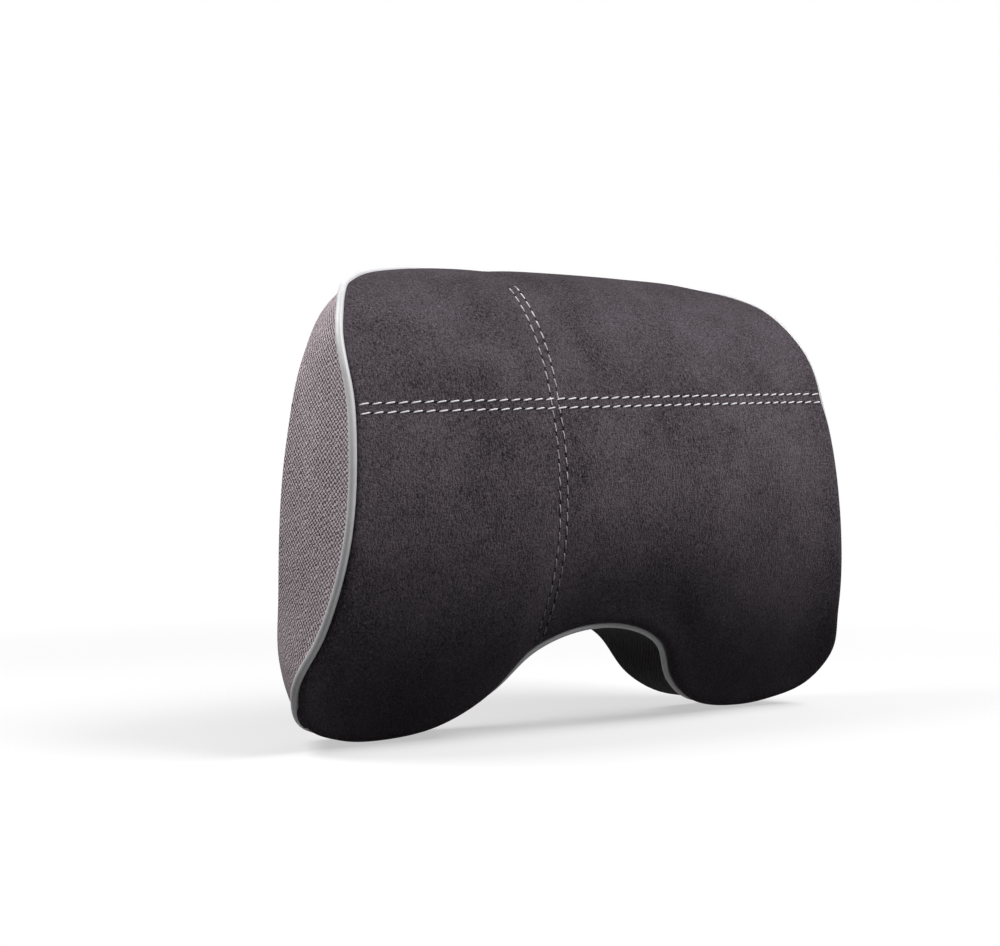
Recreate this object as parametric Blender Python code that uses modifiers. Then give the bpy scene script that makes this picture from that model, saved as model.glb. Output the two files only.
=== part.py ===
"""Car neck pillow: moulded foam in a sewn cover with piping, a back zip and a headrest strap.

Metres, +Z up, +X to the right of someone facing the pillow's front, +Y towards the headrest.
The origin is on the flat back, where the headrest bears on it.
"""

from math import pi, sin

import bmesh
import bpy
import numpy as np
from mathutils import Vector

MM = 0.001

# Front outline. Heights are taken up from the lowest point of the two lobes.
WIDTH = 297 * MM
HEIGHT = 204 * MM
WIDEST_HEIGHT = 23 * MM
SHOULDER_INSET = 20 * MM
SHOULDER_WIDTH = WIDTH - 2 * SHOULDER_INSET
SHOULDER_FALL = 30 * MM
CORNER_FALL = 10.5 * MM
WAIST_INSET = 17.5 * MM
WAIST_WIDTH = WIDTH - 2 * WAIST_INSET
WAIST_HEIGHT = 140 * MM
LOBE_INSET = 47.5 * MM
LOBE_SPACING = WIDTH - 2 * LOBE_INSET
NOTCH_WIDTH = 102 * MM
NOTCH_RISE = 44 * MM

# Back outline, which is narrower than the front, most of all at the shoulders
BACK_INSET = 12.5 * MM
BACK_WIDTH = WIDTH - 2 * BACK_INSET
BACK_SHOULDER_INSET = 24 * MM
BACK_SHOULDER_WIDTH = BACK_WIDTH - 2 * BACK_SHOULDER_INSET
BACK_SHOULDER_FALL = 18 * MM
BACK_FOOT_INSET = 9 * MM
BACK_FOOT_WIDTH = BACK_WIDTH - 2 * BACK_FOOT_INSET

# Side profile: how far the front seam stands in front of the flat back.
MAX_DEPTH = 64 * MM
DEEPEST_HEIGHT = 95 * MM
TOP_DEPTH = 3 * MM
FOOT_DEPTH = 21 * MM
FRONT_CROWN = 10 * MM
GUSSET_PUFF = 2 * MM
MOUNT_HEIGHT = 168 * MM

# Cover
COVER_THICKNESS = 1.5 * MM
PIPING_DIAMETER = 3.8 * MM
GAP = 0.3 * MM
SEAM_GAP = 0.6 * MM
FOAM_GAP = 0.6 * MM

# Zip across the back
ZIP_HEIGHT = 128 * MM
ZIP_SLOT = 11 * MM
ZIP_END_CLEARANCE = 2.5 * MM
TAPE_WIDTH = 14 * MM
TAPE_THICKNESS = 0.6 * MM
COIL_WIDTH = 2.85 * MM
COIL_THICKNESS = 2 * MM
STOP_LENGTH = 3 * MM
STOP_OVERHANG = 0.6 * MM
STOP_THICKNESS = 0.8 * MM
SLIDER_LENGTH = 12 * MM
SLIDER_PLATE = 1.2 * MM
SLIDER_FLANGE = 1.7 * MM
SLIDER_NOSE = 2.5 * MM
SLIDER_STANDOFF = 0.5 * MM
BAIL_LENGTH = 7.2 * MM
BAIL_THICKNESS = 1.2 * MM
PULL_THICKNESS = 1.2 * MM
PULL_WIDTH = 7 * MM
PULL_NECK = 6 * MM
PULL_LENGTH = 24 * MM
PULL_CLEARANCE = 0.5 * MM

# Strap, below the zip, closed on itself behind the pillow with hook and loop patches
STRAP_DROP = 9 * MM
STRAP_WIDTH = 38 * MM
STRAP_HEIGHT = ZIP_HEIGHT - STRAP_DROP - STRAP_WIDTH / 2
STRAP_THICKNESS = 1.4 * MM
STRAP_END_INSET = 1 * MM
STRAP_OVERLAP = 90 * MM
STRAP_RAMP = 16 * MM
PATCH_THICKNESS = 1.2 * MM
PATCH_MARGIN = 3 * MM

# How finely the body is cut: across, down and through, and how much closer it is cut at the ends
COLUMNS = 30
ROWS = 18
LAYERS = 3
END_CROWDING = 0.45
CURVE_STEPS = 16
PROFILE_STEPS = 60

# Roundness of the side profile above and below its deepest point, and of the front's crown
TOP_ROUNDNESS = 1.1
FOOT_ROUNDNESS = 1.6
CROWN_ACROSS = 2.6
CROWN_DOWN = 3.0

# Two places on the lattice closer than this are the same place
SAME = 1e-6


def clear_scene():
    for obj in list(bpy.data.objects):
        bpy.data.objects.remove(obj, do_unlink=True)


def make_collection(name):
    collection = bpy.data.collections.new(name)
    bpy.context.scene.collection.children.link(collection)
    return collection


def make_material(name, color, roughness, metallic=0.0):
    material = bpy.data.materials.new(name)
    material.use_nodes = True
    shader = material.node_tree.nodes["Principled BSDF"]
    shader.inputs["Base Color"].default_value = (*color, 1.0)
    shader.inputs["Roughness"].default_value = roughness
    shader.inputs["Metallic"].default_value = metallic
    return material


def add_object(name, mesh, material):
    obj = bpy.data.objects.new(name, mesh)
    obj.data.materials.append(material)
    PARTS.objects.link(obj)
    return obj


def mesh_from(bm, name):
    mesh = bpy.data.meshes.new(name)
    bm.to_mesh(mesh)
    bm.free()
    return mesh


def level(height):
    """World Z of a height above the lobes."""
    return height - MOUNT_HEIGHT


def smooth_curve(anchors):
    """Points (x, height) on a smooth curve through the anchors, level where it crosses x = 0."""
    mirror = np.array([-1.0, 1.0])
    points = np.array(anchors)
    padded = np.vstack([points[1] * mirror, points, points[-2] * mirror])
    spans = np.linalg.norm(np.diff(padded, axis=0), axis=1)[:, None]
    slopes = np.diff(padded, axis=0) / spans
    tangents = (slopes[:-1] * spans[1:] + slopes[1:] * spans[:-1]) / (spans[:-1] + spans[1:])
    curve = []
    for i in range(len(points) - 1):
        start, end = points[i], points[i + 1]
        leave, arrive = tangents[i] * spans[i + 1], tangents[i + 1] * spans[i + 1]
        for t in np.arange(CURVE_STEPS) / CURVE_STEPS:
            a = 2 * t**3 - 3 * t**2 + 1
            b = t**3 - 2 * t**2 + t
            c = t**3 - t**2
            curve.append(a * start + b * leave + (1 - a) * end + c * arrive)
    curve.append(points[-1])
    return np.array(curve)


def notch_anchors():
    """The arch over the neck, from the lobe's lowest point to the middle of the arch."""
    lobe, notch = LOBE_SPACING / 2, NOTCH_WIDTH / 2
    return [
        (lobe, 0),
        (lobe - 0.62 * (lobe - notch), 0.1 * NOTCH_RISE),
        (notch, 0.36 * NOTCH_RISE),
        (0.725 * notch, 0.75 * NOTCH_RISE),
        (0, NOTCH_RISE),
    ]


def front_outline():
    """Right half of the front outline as curves for its top, side and bottom."""
    half, shoulder, waist = WIDTH / 2, SHOULDER_WIDTH / 2, WAIST_WIDTH / 2
    lobe = LOBE_SPACING / 2
    flare, drop = half - waist, WAIST_HEIGHT - WIDEST_HEIGHT
    top = [
        (0, HEIGHT),
        (0.62 * shoulder, HEIGHT - 0.12 * CORNER_FALL),
        (0.91 * shoulder, HEIGHT - CORNER_FALL),
    ]
    side = [
        (shoulder, HEIGHT - SHOULDER_FALL),
        (waist, WAIST_HEIGHT),
        (waist + 0.34 * flare, WIDEST_HEIGHT + 0.46 * drop),
        (waist + 0.67 * flare, WIDEST_HEIGHT + 0.2 * drop),
        (half, WIDEST_HEIGHT),
        (lobe + 0.87 * (half - lobe), 0.45 * WIDEST_HEIGHT),
    ]
    foot = [(lobe + 0.4 * (half - lobe), 0.06 * WIDEST_HEIGHT)]
    return split_curve(top, side, foot + notch_anchors())


def back_outline():
    """Right half of the back outline, with its top and its notch over the front's."""
    half, shoulder, foot = BACK_WIDTH / 2, BACK_SHOULDER_WIDTH / 2, BACK_FOOT_WIDTH / 2
    lobe = LOBE_SPACING / 2
    top = [
        (0, HEIGHT),
        (0.62 * shoulder, HEIGHT - 0.08 * BACK_SHOULDER_FALL),
        (0.9 * shoulder, HEIGHT - 0.5 * BACK_SHOULDER_FALL),
    ]
    side = [
        (shoulder, HEIGHT - BACK_SHOULDER_FALL),
        (0.5 * (shoulder + half), HEIGHT - 2.3 * BACK_SHOULDER_FALL),
        (half - 0.16 * (half - shoulder), 0.9 * WAIST_HEIGHT),
        (half, 0.43 * WAIST_HEIGHT),
        (half - 0.1 * (half - foot), 1.3 * WIDEST_HEIGHT),
        (foot, 0.43 * WIDEST_HEIGHT),
    ]
    bottom = [(lobe + 0.45 * (foot - lobe), 0.07 * WIDEST_HEIGHT)]
    return split_curve(top, side, bottom + notch_anchors())


def split_curve(top, side, bottom):
    curve = smooth_curve(top + side + bottom)
    first = (len(top) - 1) * CURVE_STEPS
    last = (len(top) + len(side) - 1) * CURVE_STEPS
    return curve[: first + 1], curve[first : last + 1], curve[last:][::-1]


def side_profile():
    """Arrays of arc length, height and depth, from the top seam round the front to the lobes."""
    angle = np.linspace(0, pi / 2, PROFILE_STEPS)
    upper_height = DEEPEST_HEIGHT + (HEIGHT - DEEPEST_HEIGHT) * np.cos(angle)
    upper_depth = TOP_DEPTH + (MAX_DEPTH - TOP_DEPTH) * np.sin(angle) ** TOP_ROUNDNESS
    lower_height = DEEPEST_HEIGHT * (1 - np.sin(angle))
    lower_depth = FOOT_DEPTH + (MAX_DEPTH - FOOT_DEPTH) * np.abs(np.cos(angle)) ** FOOT_ROUNDNESS
    heights = np.concatenate([upper_height, lower_height[1:]])
    depths = np.concatenate([upper_depth, lower_depth[1:]])
    lengths = np.concatenate([[0], np.hypot(np.diff(heights), np.diff(depths)).cumsum()])
    return lengths, heights, depths


LENGTHS, HEIGHTS, DEPTHS = side_profile()
FRONT_TOP, FRONT_SIDE, FRONT_BOTTOM = front_outline()
BACK_TOP, BACK_SIDE, BACK_BOTTOM = back_outline()


def length_at(height):
    """Arc length along the side profile at a height."""
    return np.interp(-height, -HEIGHTS, LENGTHS)


def front_point(across, down):
    """Point on the cover's front. across runs from -1 to 1, down from 0 at the top to 1."""
    corner, foot = length_at(FRONT_SIDE[0][1]), length_at(FRONT_SIDE[-1][1])
    side_lengths = length_at(FRONT_SIDE[:, 1])
    x = across * np.interp(corner + down * (foot - corner), side_lengths, FRONT_SIDE[:, 0])
    top = length_at(np.interp(abs(across) * FRONT_TOP[-1][0], FRONT_TOP[:, 0], FRONT_TOP[:, 1]))
    reach = abs(across) * FRONT_BOTTOM[-1][0]
    bottom = length_at(np.interp(reach, FRONT_BOTTOM[:, 0], FRONT_BOTTOM[:, 1]))
    length = top + down * (bottom - top)
    height = np.interp(length, LENGTHS, HEIGHTS)
    depth = np.interp(length, LENGTHS, DEPTHS)
    rise = np.interp(length, LENGTHS, np.gradient(HEIGHTS, LENGTHS))
    reach_out = np.interp(length, LENGTHS, np.gradient(DEPTHS, LENGTHS))
    crown = FRONT_CROWN * (1 - abs(across) ** CROWN_ACROSS) * (1 - abs(2 * down - 1) ** CROWN_DOWN)
    return Vector((x, -depth + crown * rise, level(height) + crown * reach_out))


def back_point(across, down):
    """Point on the cover's flat back, for the same across and down as the front's."""
    corner, foot = BACK_SIDE[0][1], BACK_SIDE[-1][1]
    x = across * np.interp(
        -(corner + down * (foot - corner)), -BACK_SIDE[:, 1], BACK_SIDE[:, 0]
    )
    top = np.interp(abs(across) * BACK_TOP[-1][0], BACK_TOP[:, 0], BACK_TOP[:, 1])
    bottom = np.interp(abs(across) * BACK_BOTTOM[-1][0], BACK_BOTTOM[:, 0], BACK_BOTTOM[:, 1])
    return Vector((x, 0, level(top + down * (bottom - top))))


def back_half_width(height):
    """Half the width of the flat back at a height."""
    return np.interp(-height, -BACK_SIDE[:, 1], BACK_SIDE[:, 0])


def body_point(across, down, through):
    """Point on the cover's outside: through is 0 on the front and 1 on the back."""
    front, back = front_point(across, down), back_point(across, down)
    point = front.lerp(back, through)
    if abs(across) > 1 - SAME:
        swell = 4 * through * (1 - through) * (back - front).length / MAX_DEPTH
        point.x += across * GUSSET_PUFF * swell
    return point


def crowded(share):
    """A share from -1 to 1 of the way across the lattice, moved towards its nearer end."""
    return (1 - END_CROWDING) * share + END_CROWDING * sin(share * pi / 2)


def make_body():
    """The cover's closed outside: a cube cut into a lattice, each point carried to its place."""
    bm = bmesh.new()
    bmesh.ops.create_cube(bm, size=1)
    for axis, count in enumerate((COLUMNS, ROWS, LAYERS)):
        along = [
            edge
            for edge in bm.edges
            if abs((edge.verts[0].co - edge.verts[1].co)[axis]) > SAME
        ]
        bmesh.ops.subdivide_edges(bm, edges=along, cuts=count - 1, use_grid_fill=True)
    region = bm.faces.layers.string.new("region")
    step_in = bm.verts.layers.float_vector.new("step_in")
    for face in bm.faces:
        face[region] = region_of(face.calc_center_median())
    lattice = {}
    for vert in bm.verts:
        i = round((vert.co.x + 0.5) * COLUMNS)
        j = round((vert.co.y + 0.5) * ROWS)
        k = round((vert.co.z + 0.5) * LAYERS)
        lattice[i, j, k] = vert
        down = (crowded(2 * j / ROWS - 1) + 1) / 2
        vert.co = body_point(crowded(2 * i / COLUMNS - 1), down, k / LAYERS)
    bm.normal_update()
    mark_steps_in(bm, lattice, step_in)
    return bm, region, lattice


def mark_steps_in(bm, lattice, step_in):
    """Gives each vertex the step that takes it one unit under every face it belongs to."""
    for vert in bm.verts:
        vert[step_in] = -vert.normal * vert.calc_shell_factor()
    for (i, j, k), vert in lattice.items():
        if 0 < k < LAYERS:
            front, back = (Vector(lattice[i, j, end][step_in]) for end in (0, LAYERS))
            vert[step_in] = front.lerp(back, k / LAYERS)


def region_of(center):
    """Which panel covers a face of the cube that the body starts from."""
    edge = 0.5 - SAME
    if center.z < -edge:
        return b"front"
    if center.z > edge or center.y < -edge:
        return b"back"
    if center.y > edge:
        return b"bottom"
    return b"left" if center.x < 0 else b"right"


def off_border(edge):
    """Unit vector in the sheet that points away from a border edge."""
    start, end = (vert.co for vert in edge.verts)
    along = (end - start).normalized()
    across = edge.link_faces[0].calc_center_median() - (start + end) / 2
    return (across - along * across.dot(along)).normalized()


def draw_back_border(bm, distance):
    """Moves an open sheet's border in along the sheet, so that it clears the next panel."""
    moves = {}
    for vert in bm.verts:
        border = [off_border(edge) for edge in vert.link_edges if edge.is_boundary]
        if len(border) == 2:
            moves[vert] = sum(border, Vector()) * distance / (1 + border[0].dot(border[1]))
    for vert, move in moves.items():
        vert.co += move


def fold_walls_in(bm, walls):
    """Splits each twisted wall along the diagonal that leaves the most room beside it."""
    for wall in walls:
        corners = list(wall.verts)
        middles = [(corners[i].co + corners[i + 2].co) / 2 for i in (0, 1)]
        lower = 0 if middles[0].dot(wall.normal) < middles[1].dot(wall.normal) else 1
        bmesh.ops.connect_verts(bm, verts=[corners[lower], corners[lower + 2]])


def make_panel(name, wanted, material, above=None, below=None):
    """A cover panel: one region of the body's outside, given the cover's thickness inwards.

    Its inner corners are mitred, so panels that meet at a seam leave only the seam's gap.
    above and below keep only what lies over or under a level."""
    bm, region, _ = make_body()
    step_in = bm.verts.layers.float_vector["step_in"]
    others = [face for face in bm.faces if face[region] != wanted]
    bmesh.ops.delete(bm, geom=others, context="FACES")
    for cut, side in ((above, -1), (below, 1)):
        if cut is None:
            continue
        everything = [*bm.verts, *bm.edges, *bm.faces]
        bmesh.ops.bisect_plane(
            bm, geom=everything, plane_co=(0, 0, cut), plane_no=(0, 0, side), clear_outer=True
        )
    bmesh.ops.remove_doubles(bm, verts=bm.verts, dist=GAP / 10)
    bm.normal_update()
    draw_back_border(bm, SEAM_GAP / 2)
    made = bmesh.ops.extrude_face_region(bm, geom=list(bm.faces), use_keep_orig=True)
    inner = {item for item in made["geom"] if isinstance(item, bmesh.types.BMVert)}
    for vert in inner:
        vert.co += Vector(vert[step_in]) * COVER_THICKNESS
    bmesh.ops.recalc_face_normals(bm, faces=bm.faces)
    fold_walls_in(bm, [face for face in bm.faces if len(inner.intersection(face.verts)) == 2])
    panel = add_object(name, mesh_from(bm, name), material)
    panel.data.shade_smooth()


def make_foam(material):
    """Foam moulded to the cover's form, with a shallow bed where the zip's tapes press in."""
    bm, _, _ = make_body()
    step_in = bm.verts.layers.float_vector["step_in"]
    for vert in bm.verts:
        vert.co += Vector(vert[step_in]) * (COVER_THICKNESS + FOAM_GAP)
    foam = add_object("foam_core", mesh_from(bm, "foam_core"), material)
    foam.data.shade_smooth()
    half_length = zip_reach() + GAP
    half_height = TAPE_WIDTH + GAP
    bed = make_block(
        (-half_length, half_length),
        (tape_back() - TAPE_THICKNESS - GAP, COVER_THICKNESS),
        (level(ZIP_HEIGHT) - half_height, level(ZIP_HEIGHT) + half_height),
    )
    cut(foam, "zip_bed_cutter", bed, "DIFFERENCE")


def make_block(xs, ys, zs):
    bm = bmesh.new()
    bmesh.ops.create_cube(bm, size=1)
    size = Vector((xs[1] - xs[0], ys[1] - ys[0], zs[1] - zs[0]))
    middle = Vector((xs[1] + xs[0], ys[1] + ys[0], zs[1] + zs[0])) / 2
    bmesh.ops.scale(bm, vec=size, verts=bm.verts)
    bmesh.ops.translate(bm, vec=middle, verts=bm.verts)
    return bm


def cut(obj, name, bm, operation):
    """Boolean with a helper object that isn't part of the pillow."""
    helper = bpy.data.objects.new(name, mesh_from(bm, name))
    helper.parent = obj.parent
    helper.location = obj.location
    helper.hide_render = True
    helper.display_type = "WIRE"
    CUTTERS.objects.link(helper)
    modifier = obj.modifiers.new(name, "BOOLEAN")
    modifier.object = helper
    modifier.operation = operation


def make_piping(material):
    """Corded piping laid in the corner of the front seam, all the way round."""
    bm, _, lattice = make_body()
    around = [(i, 0) for i in range(COLUMNS)]
    around += [(COLUMNS, j) for j in range(ROWS)]
    around += [(i, ROWS) for i in range(COLUMNS, 0, -1)]
    around += [(0, j) for j in range(ROWS, 0, -1)]
    curve = bpy.data.curves.new("piping", "CURVE")
    curve.dimensions = "3D"
    curve.bevel_depth = PIPING_DIAMETER / 2
    curve.bevel_resolution = 2
    spline = curve.splines.new("POLY")
    spline.points.add(len(around) - 1)
    spline.use_cyclic_u = True
    for point, key in zip(spline.points, around):
        vert = lattice[(*key, 0)]
        point.co = (*(vert.co + vert.normal * (PIPING_DIAMETER / 2 + GAP)), 1)
    bm.free()
    add_object("piping", curve, material)


def zip_reach():
    """Half the length of the zip's tapes, which fit the back at its narrowest beside them."""
    edges = (ZIP_HEIGHT - TAPE_WIDTH, ZIP_HEIGHT + TAPE_WIDTH)
    return min(back_half_width(height) for height in edges) - ZIP_END_CLEARANCE


def tape_back():
    """World Y of the tapes' outer face, which lies against the back panels."""
    return -COVER_THICKNESS - GAP


def coil_front():
    """World Y of the coils' inner face, which lies against the tapes."""
    return tape_back() + GAP


def make_zip_tapes(material):
    for name, side in (("zip_tape_upper", 1), ("zip_tape_lower", -1)):
        edges = sorted((side * GAP / 2, side * TAPE_WIDTH))
        zs = [level(ZIP_HEIGHT) + edge for edge in edges]
        ys = (tape_back() - TAPE_THICKNESS, tape_back())
        bm = make_block((-zip_reach(), zip_reach()), ys, zs)
        add_object(name, mesh_from(bm, name), material)


def make_zip_coils(material):
    for name, side in (("zip_coil_upper", 1), ("zip_coil_lower", -1)):
        edges = sorted((side * GAP / 2, side * (GAP / 2 + COIL_WIDTH)))
        zs = [level(ZIP_HEIGHT) + edge for edge in edges]
        ends = zip_reach() - STOP_LENGTH - GAP
        bm = make_block((-ends, ends), (coil_front(), coil_front() + COIL_THICKNESS), zs)
        add_object(name, mesh_from(bm, name), material)


def make_zip_stops(material):
    """Stops clamped over both coils' ends, which keep the slider on."""
    half = GAP / 2 + COIL_WIDTH + STOP_OVERHANG
    zs = (level(ZIP_HEIGHT) - half, level(ZIP_HEIGHT) + half)
    ys = (coil_front(), coil_front() + COIL_THICKNESS + STOP_THICKNESS)
    for name, side in (("zip_stop_left", -1), ("zip_stop_right", 1)):
        xs = sorted((side * (zip_reach() - STOP_LENGTH), side * zip_reach()))
        bm = make_block(xs, ys, zs)
        bmesh.ops.bevel(
            bm,
            geom=[edge for edge in bm.edges if all(vert.co.y > ys[0] + GAP for vert in edge.verts)],
            offset=STOP_THICKNESS / 2,
            segments=2,
            profile=0.5,
            affect="EDGES",
        )
        add_object(name, mesh_from(bm, name), material)


def slider_place():
    """World X of the closed zip's slider, just inside the right-hand stop."""
    return zip_reach() - STOP_LENGTH - 2 * GAP - SLIDER_LENGTH / 2


def hinge_place():
    """World Y of the pull's hinge, under the slider's bail."""
    plate_top = coil_front() + COIL_THICKNESS + GAP + SLIDER_PLATE
    return plate_top + SLIDER_STANDOFF + PULL_THICKNESS / 2


def slider_outline(half_width):
    """Boat shape of the slider seen from behind, blunt at both ends."""
    half = SLIDER_LENGTH / 2
    narrow = half_width - SLIDER_FLANGE / 2
    return [
        (-half, -narrow),
        (half - SLIDER_NOSE, -half_width),
        (half, -narrow),
        (half, narrow),
        (half - SLIDER_NOSE, half_width),
        (-half, narrow),
    ]


def extrude_outline(points, start, end):
    """A flat outline of (x, z) points made solid between two Y values."""
    bm = bmesh.new()
    face = bm.faces.new([bm.verts.new((x, start, z)) for x, z in points])
    made = bmesh.ops.extrude_face_region(bm, geom=[face], use_keep_orig=True)
    moved = [item for item in made["geom"] if isinstance(item, bmesh.types.BMVert)]
    bmesh.ops.translate(bm, vec=(0, end - start, 0), verts=moved)
    bmesh.ops.recalc_face_normals(bm, faces=bm.faces)
    return bm


def make_slider(slider_origin, material):
    """Slider riding over the closed coils, with a bail that holds its pull."""
    channel = GAP / 2 + COIL_WIDTH + GAP
    half_width = channel + SLIDER_FLANGE
    under = coil_front() + COIL_THICKNESS + GAP
    body = extrude_outline(slider_outline(half_width), GAP, under + SLIDER_PLATE)
    slider = add_object("zip_slider", mesh_from(body, "zip_slider"), material)
    slider.parent = slider_origin
    long = SLIDER_LENGTH
    groove = make_block((-long, long), (-COVER_THICKNESS, under), (-channel, channel))
    cut(slider, "slider_groove_cutter", groove, "DIFFERENCE")
    crest = hinge_place() + PULL_THICKNESS / 2 + PULL_CLEARANCE
    bail = make_block(
        (-BAIL_LENGTH / 2, BAIL_LENGTH / 2),
        (under + SLIDER_PLATE / 2, crest + BAIL_THICKNESS),
        (-BAIL_THICKNESS / 2, BAIL_THICKNESS / 2),
    )
    cut(slider, "slider_bail", bail, "UNION")
    window = make_block(
        (-BAIL_LENGTH / 2 + BAIL_THICKNESS, BAIL_LENGTH / 2 - BAIL_THICKNESS),
        (under + SLIDER_PLATE, crest),
        (-BAIL_THICKNESS, BAIL_THICKNESS),
    )
    cut(slider, "bail_window_cutter", window, "DIFFERENCE")


def make_pull(pull_origin, material):
    """Pull tab whose end bar turns under the slider's bail."""
    half = PULL_THICKNESS / 2
    corner = PULL_WIDTH / 4
    grip = BAIL_LENGTH / 2 + PULL_CLEARANCE + 2 * PULL_THICKNESS
    neck = PULL_NECK / 2
    outline = [
        (half, -neck),
        (half, neck),
        (-grip, neck),
        (-grip - PULL_WIDTH / 2, PULL_WIDTH / 2),
        (-PULL_LENGTH + corner, PULL_WIDTH / 2),
        (-PULL_LENGTH, PULL_WIDTH / 2 - corner),
        (-PULL_LENGTH, corner - PULL_WIDTH / 2),
        (-PULL_LENGTH + corner, -PULL_WIDTH / 2),
        (-grip - PULL_WIDTH / 2, -PULL_WIDTH / 2),
        (-grip, -neck),
    ]
    body = extrude_outline(outline, -half, half)
    pull = add_object("zip_pull", mesh_from(body, "zip_pull"), material)
    pull.parent = pull_origin
    eye_half = BAIL_THICKNESS / 2 + PULL_CLEARANCE
    eye = make_block((-grip, -half), (-2 * half, 2 * half), (-eye_half, eye_half))
    cut(pull, "pull_eye_cutter", eye, "DIFFERENCE")


def make_zip(materials):
    make_zip_tapes(materials["tape"])
    make_zip_coils(materials["coil"])
    make_zip_stops(materials["metal"])
    slider_origin = make_empty("slider_origin", (slider_place(), 0, level(ZIP_HEIGHT)))
    make_slider(slider_origin, materials["metal"])
    pull_origin = make_empty("pull_origin", (0, hinge_place(), 0))
    pull_origin.parent = slider_origin
    make_pull(pull_origin, materials["metal"])


def make_empty(name, location):
    empty = bpy.data.objects.new(name, None)
    empty.location = location
    PARTS.objects.link(empty)
    return empty


def make_ribbon(name, path, width, thickness, material):
    """Flat webbing on edge along (x, y) points, centred on the strap's height."""
    bm = bmesh.new()
    bottom = level(STRAP_HEIGHT) - width / 2
    verts = [bm.verts.new((x, y, bottom)) for x, y in path]
    edges = [bm.edges.new(pair) for pair in zip(verts, verts[1:])]
    made = bmesh.ops.extrude_edge_only(bm, edges=edges)
    moved = [item for item in made["geom"] if isinstance(item, bmesh.types.BMVert)]
    bmesh.ops.translate(bm, vec=(0, 0, width), verts=moved)
    bmesh.ops.recalc_face_normals(bm, faces=bm.faces)
    obj = add_object(name, mesh_from(bm, name), material)
    solidify = obj.modifiers.new("thickness", "SOLIDIFY")
    solidify.thickness = thickness
    solidify.offset = 0
    solidify.use_even_offset = True
    return obj


def strap_reach():
    """Where each strap's end is caught in the side seam."""
    edges = (STRAP_HEIGHT - STRAP_WIDTH / 2, STRAP_HEIGHT + STRAP_WIDTH / 2)
    return min(back_half_width(height) for height in edges) - STRAP_END_INSET


def make_strap(materials):
    """Two straps sewn into the side seams; the right one closes over the left one's patch."""
    under = GAP + STRAP_THICKNESS / 2
    loop = under + STRAP_THICKNESS / 2 + GAP + PATCH_THICKNESS / 2
    hook = loop + PATCH_THICKNESS + GAP
    over = hook + PATCH_THICKNESS / 2 + GAP + STRAP_THICKNESS / 2
    reach, lap = strap_reach(), STRAP_OVERLAP / 2
    make_ribbon(
        "strap_left",
        [(-reach, under), (lap, under)],
        STRAP_WIDTH,
        STRAP_THICKNESS,
        materials["webbing"],
    )
    ramp = [lap + STRAP_RAMP * (0.25 + t / 4) for t in range(5)]
    rise = [over + (under - over) * sin(t * pi / 8) ** 2 for t in range(5)]
    make_ribbon(
        "strap_right",
        [(-lap, over), *zip(ramp, rise), (reach, under)],
        STRAP_WIDTH,
        STRAP_THICKNESS,
        materials["webbing"],
    )
    patch_width = STRAP_WIDTH - 2 * PATCH_MARGIN
    patch_reach = lap - PATCH_MARGIN
    for name, y in (("strap_loop_patch", loop), ("strap_hook_patch", hook)):
        path = [(-patch_reach, y), (patch_reach, y)]
        make_ribbon(name, path, patch_width, PATCH_THICKNESS, materials["patch"])


def make_cover(materials):
    make_panel("front_panel", b"front", materials["suede"])
    make_panel("gusset_left", b"left", materials["knit"])
    make_panel("gusset_right", b"right", materials["knit"])
    make_panel("bottom_band", b"bottom", materials["knit"])
    slot_top = level(ZIP_HEIGHT) + ZIP_SLOT / 2
    slot_foot = level(ZIP_HEIGHT) - ZIP_SLOT / 2
    make_panel("back_panel_upper", b"back", materials["knit"], above=slot_top)
    make_panel("back_panel_lower", b"back", materials["knit"], below=slot_foot)
    make_piping(materials["piping"])


def main():
    materials = {
        "foam": make_material("memory foam", (0.85, 0.83, 0.74), 0.9),
        "suede": make_material("microsuede", (0.035, 0.03, 0.033), 0.85),
        "knit": make_material("side knit", (0.17, 0.13, 0.14), 0.8),
        "piping": make_material("piping vinyl", (0.33, 0.33, 0.35), 0.35),
        "tape": make_material("zip tape", (0.02, 0.02, 0.02), 0.8),
        "coil": make_material("zip coil", (0.03, 0.03, 0.03), 0.4),
        "metal": make_material("zip metal", (0.12, 0.12, 0.13), 0.35, 1.0),
        "webbing": make_material("strap webbing", (0.02, 0.02, 0.02), 0.75),
        "patch": make_material("hook and loop", (0.015, 0.015, 0.015), 0.95),
    }
    make_foam(materials["foam"])
    make_cover(materials)
    make_zip(materials)
    make_strap(materials)


clear_scene()
PARTS = make_collection("car neck pillow")
CUTTERS = make_collection("cutters")
main()
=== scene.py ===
"""Car neck pillow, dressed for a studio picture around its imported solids."""

from math import atan2, exp, hypot, pi, radians, sin, sqrt

import bmesh
import bpy
import numpy as np
from mathutils import Matrix, Vector, noise
from mathutils.bvhtree import BVHTree
from mathutils.kdtree import KDTree


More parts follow.
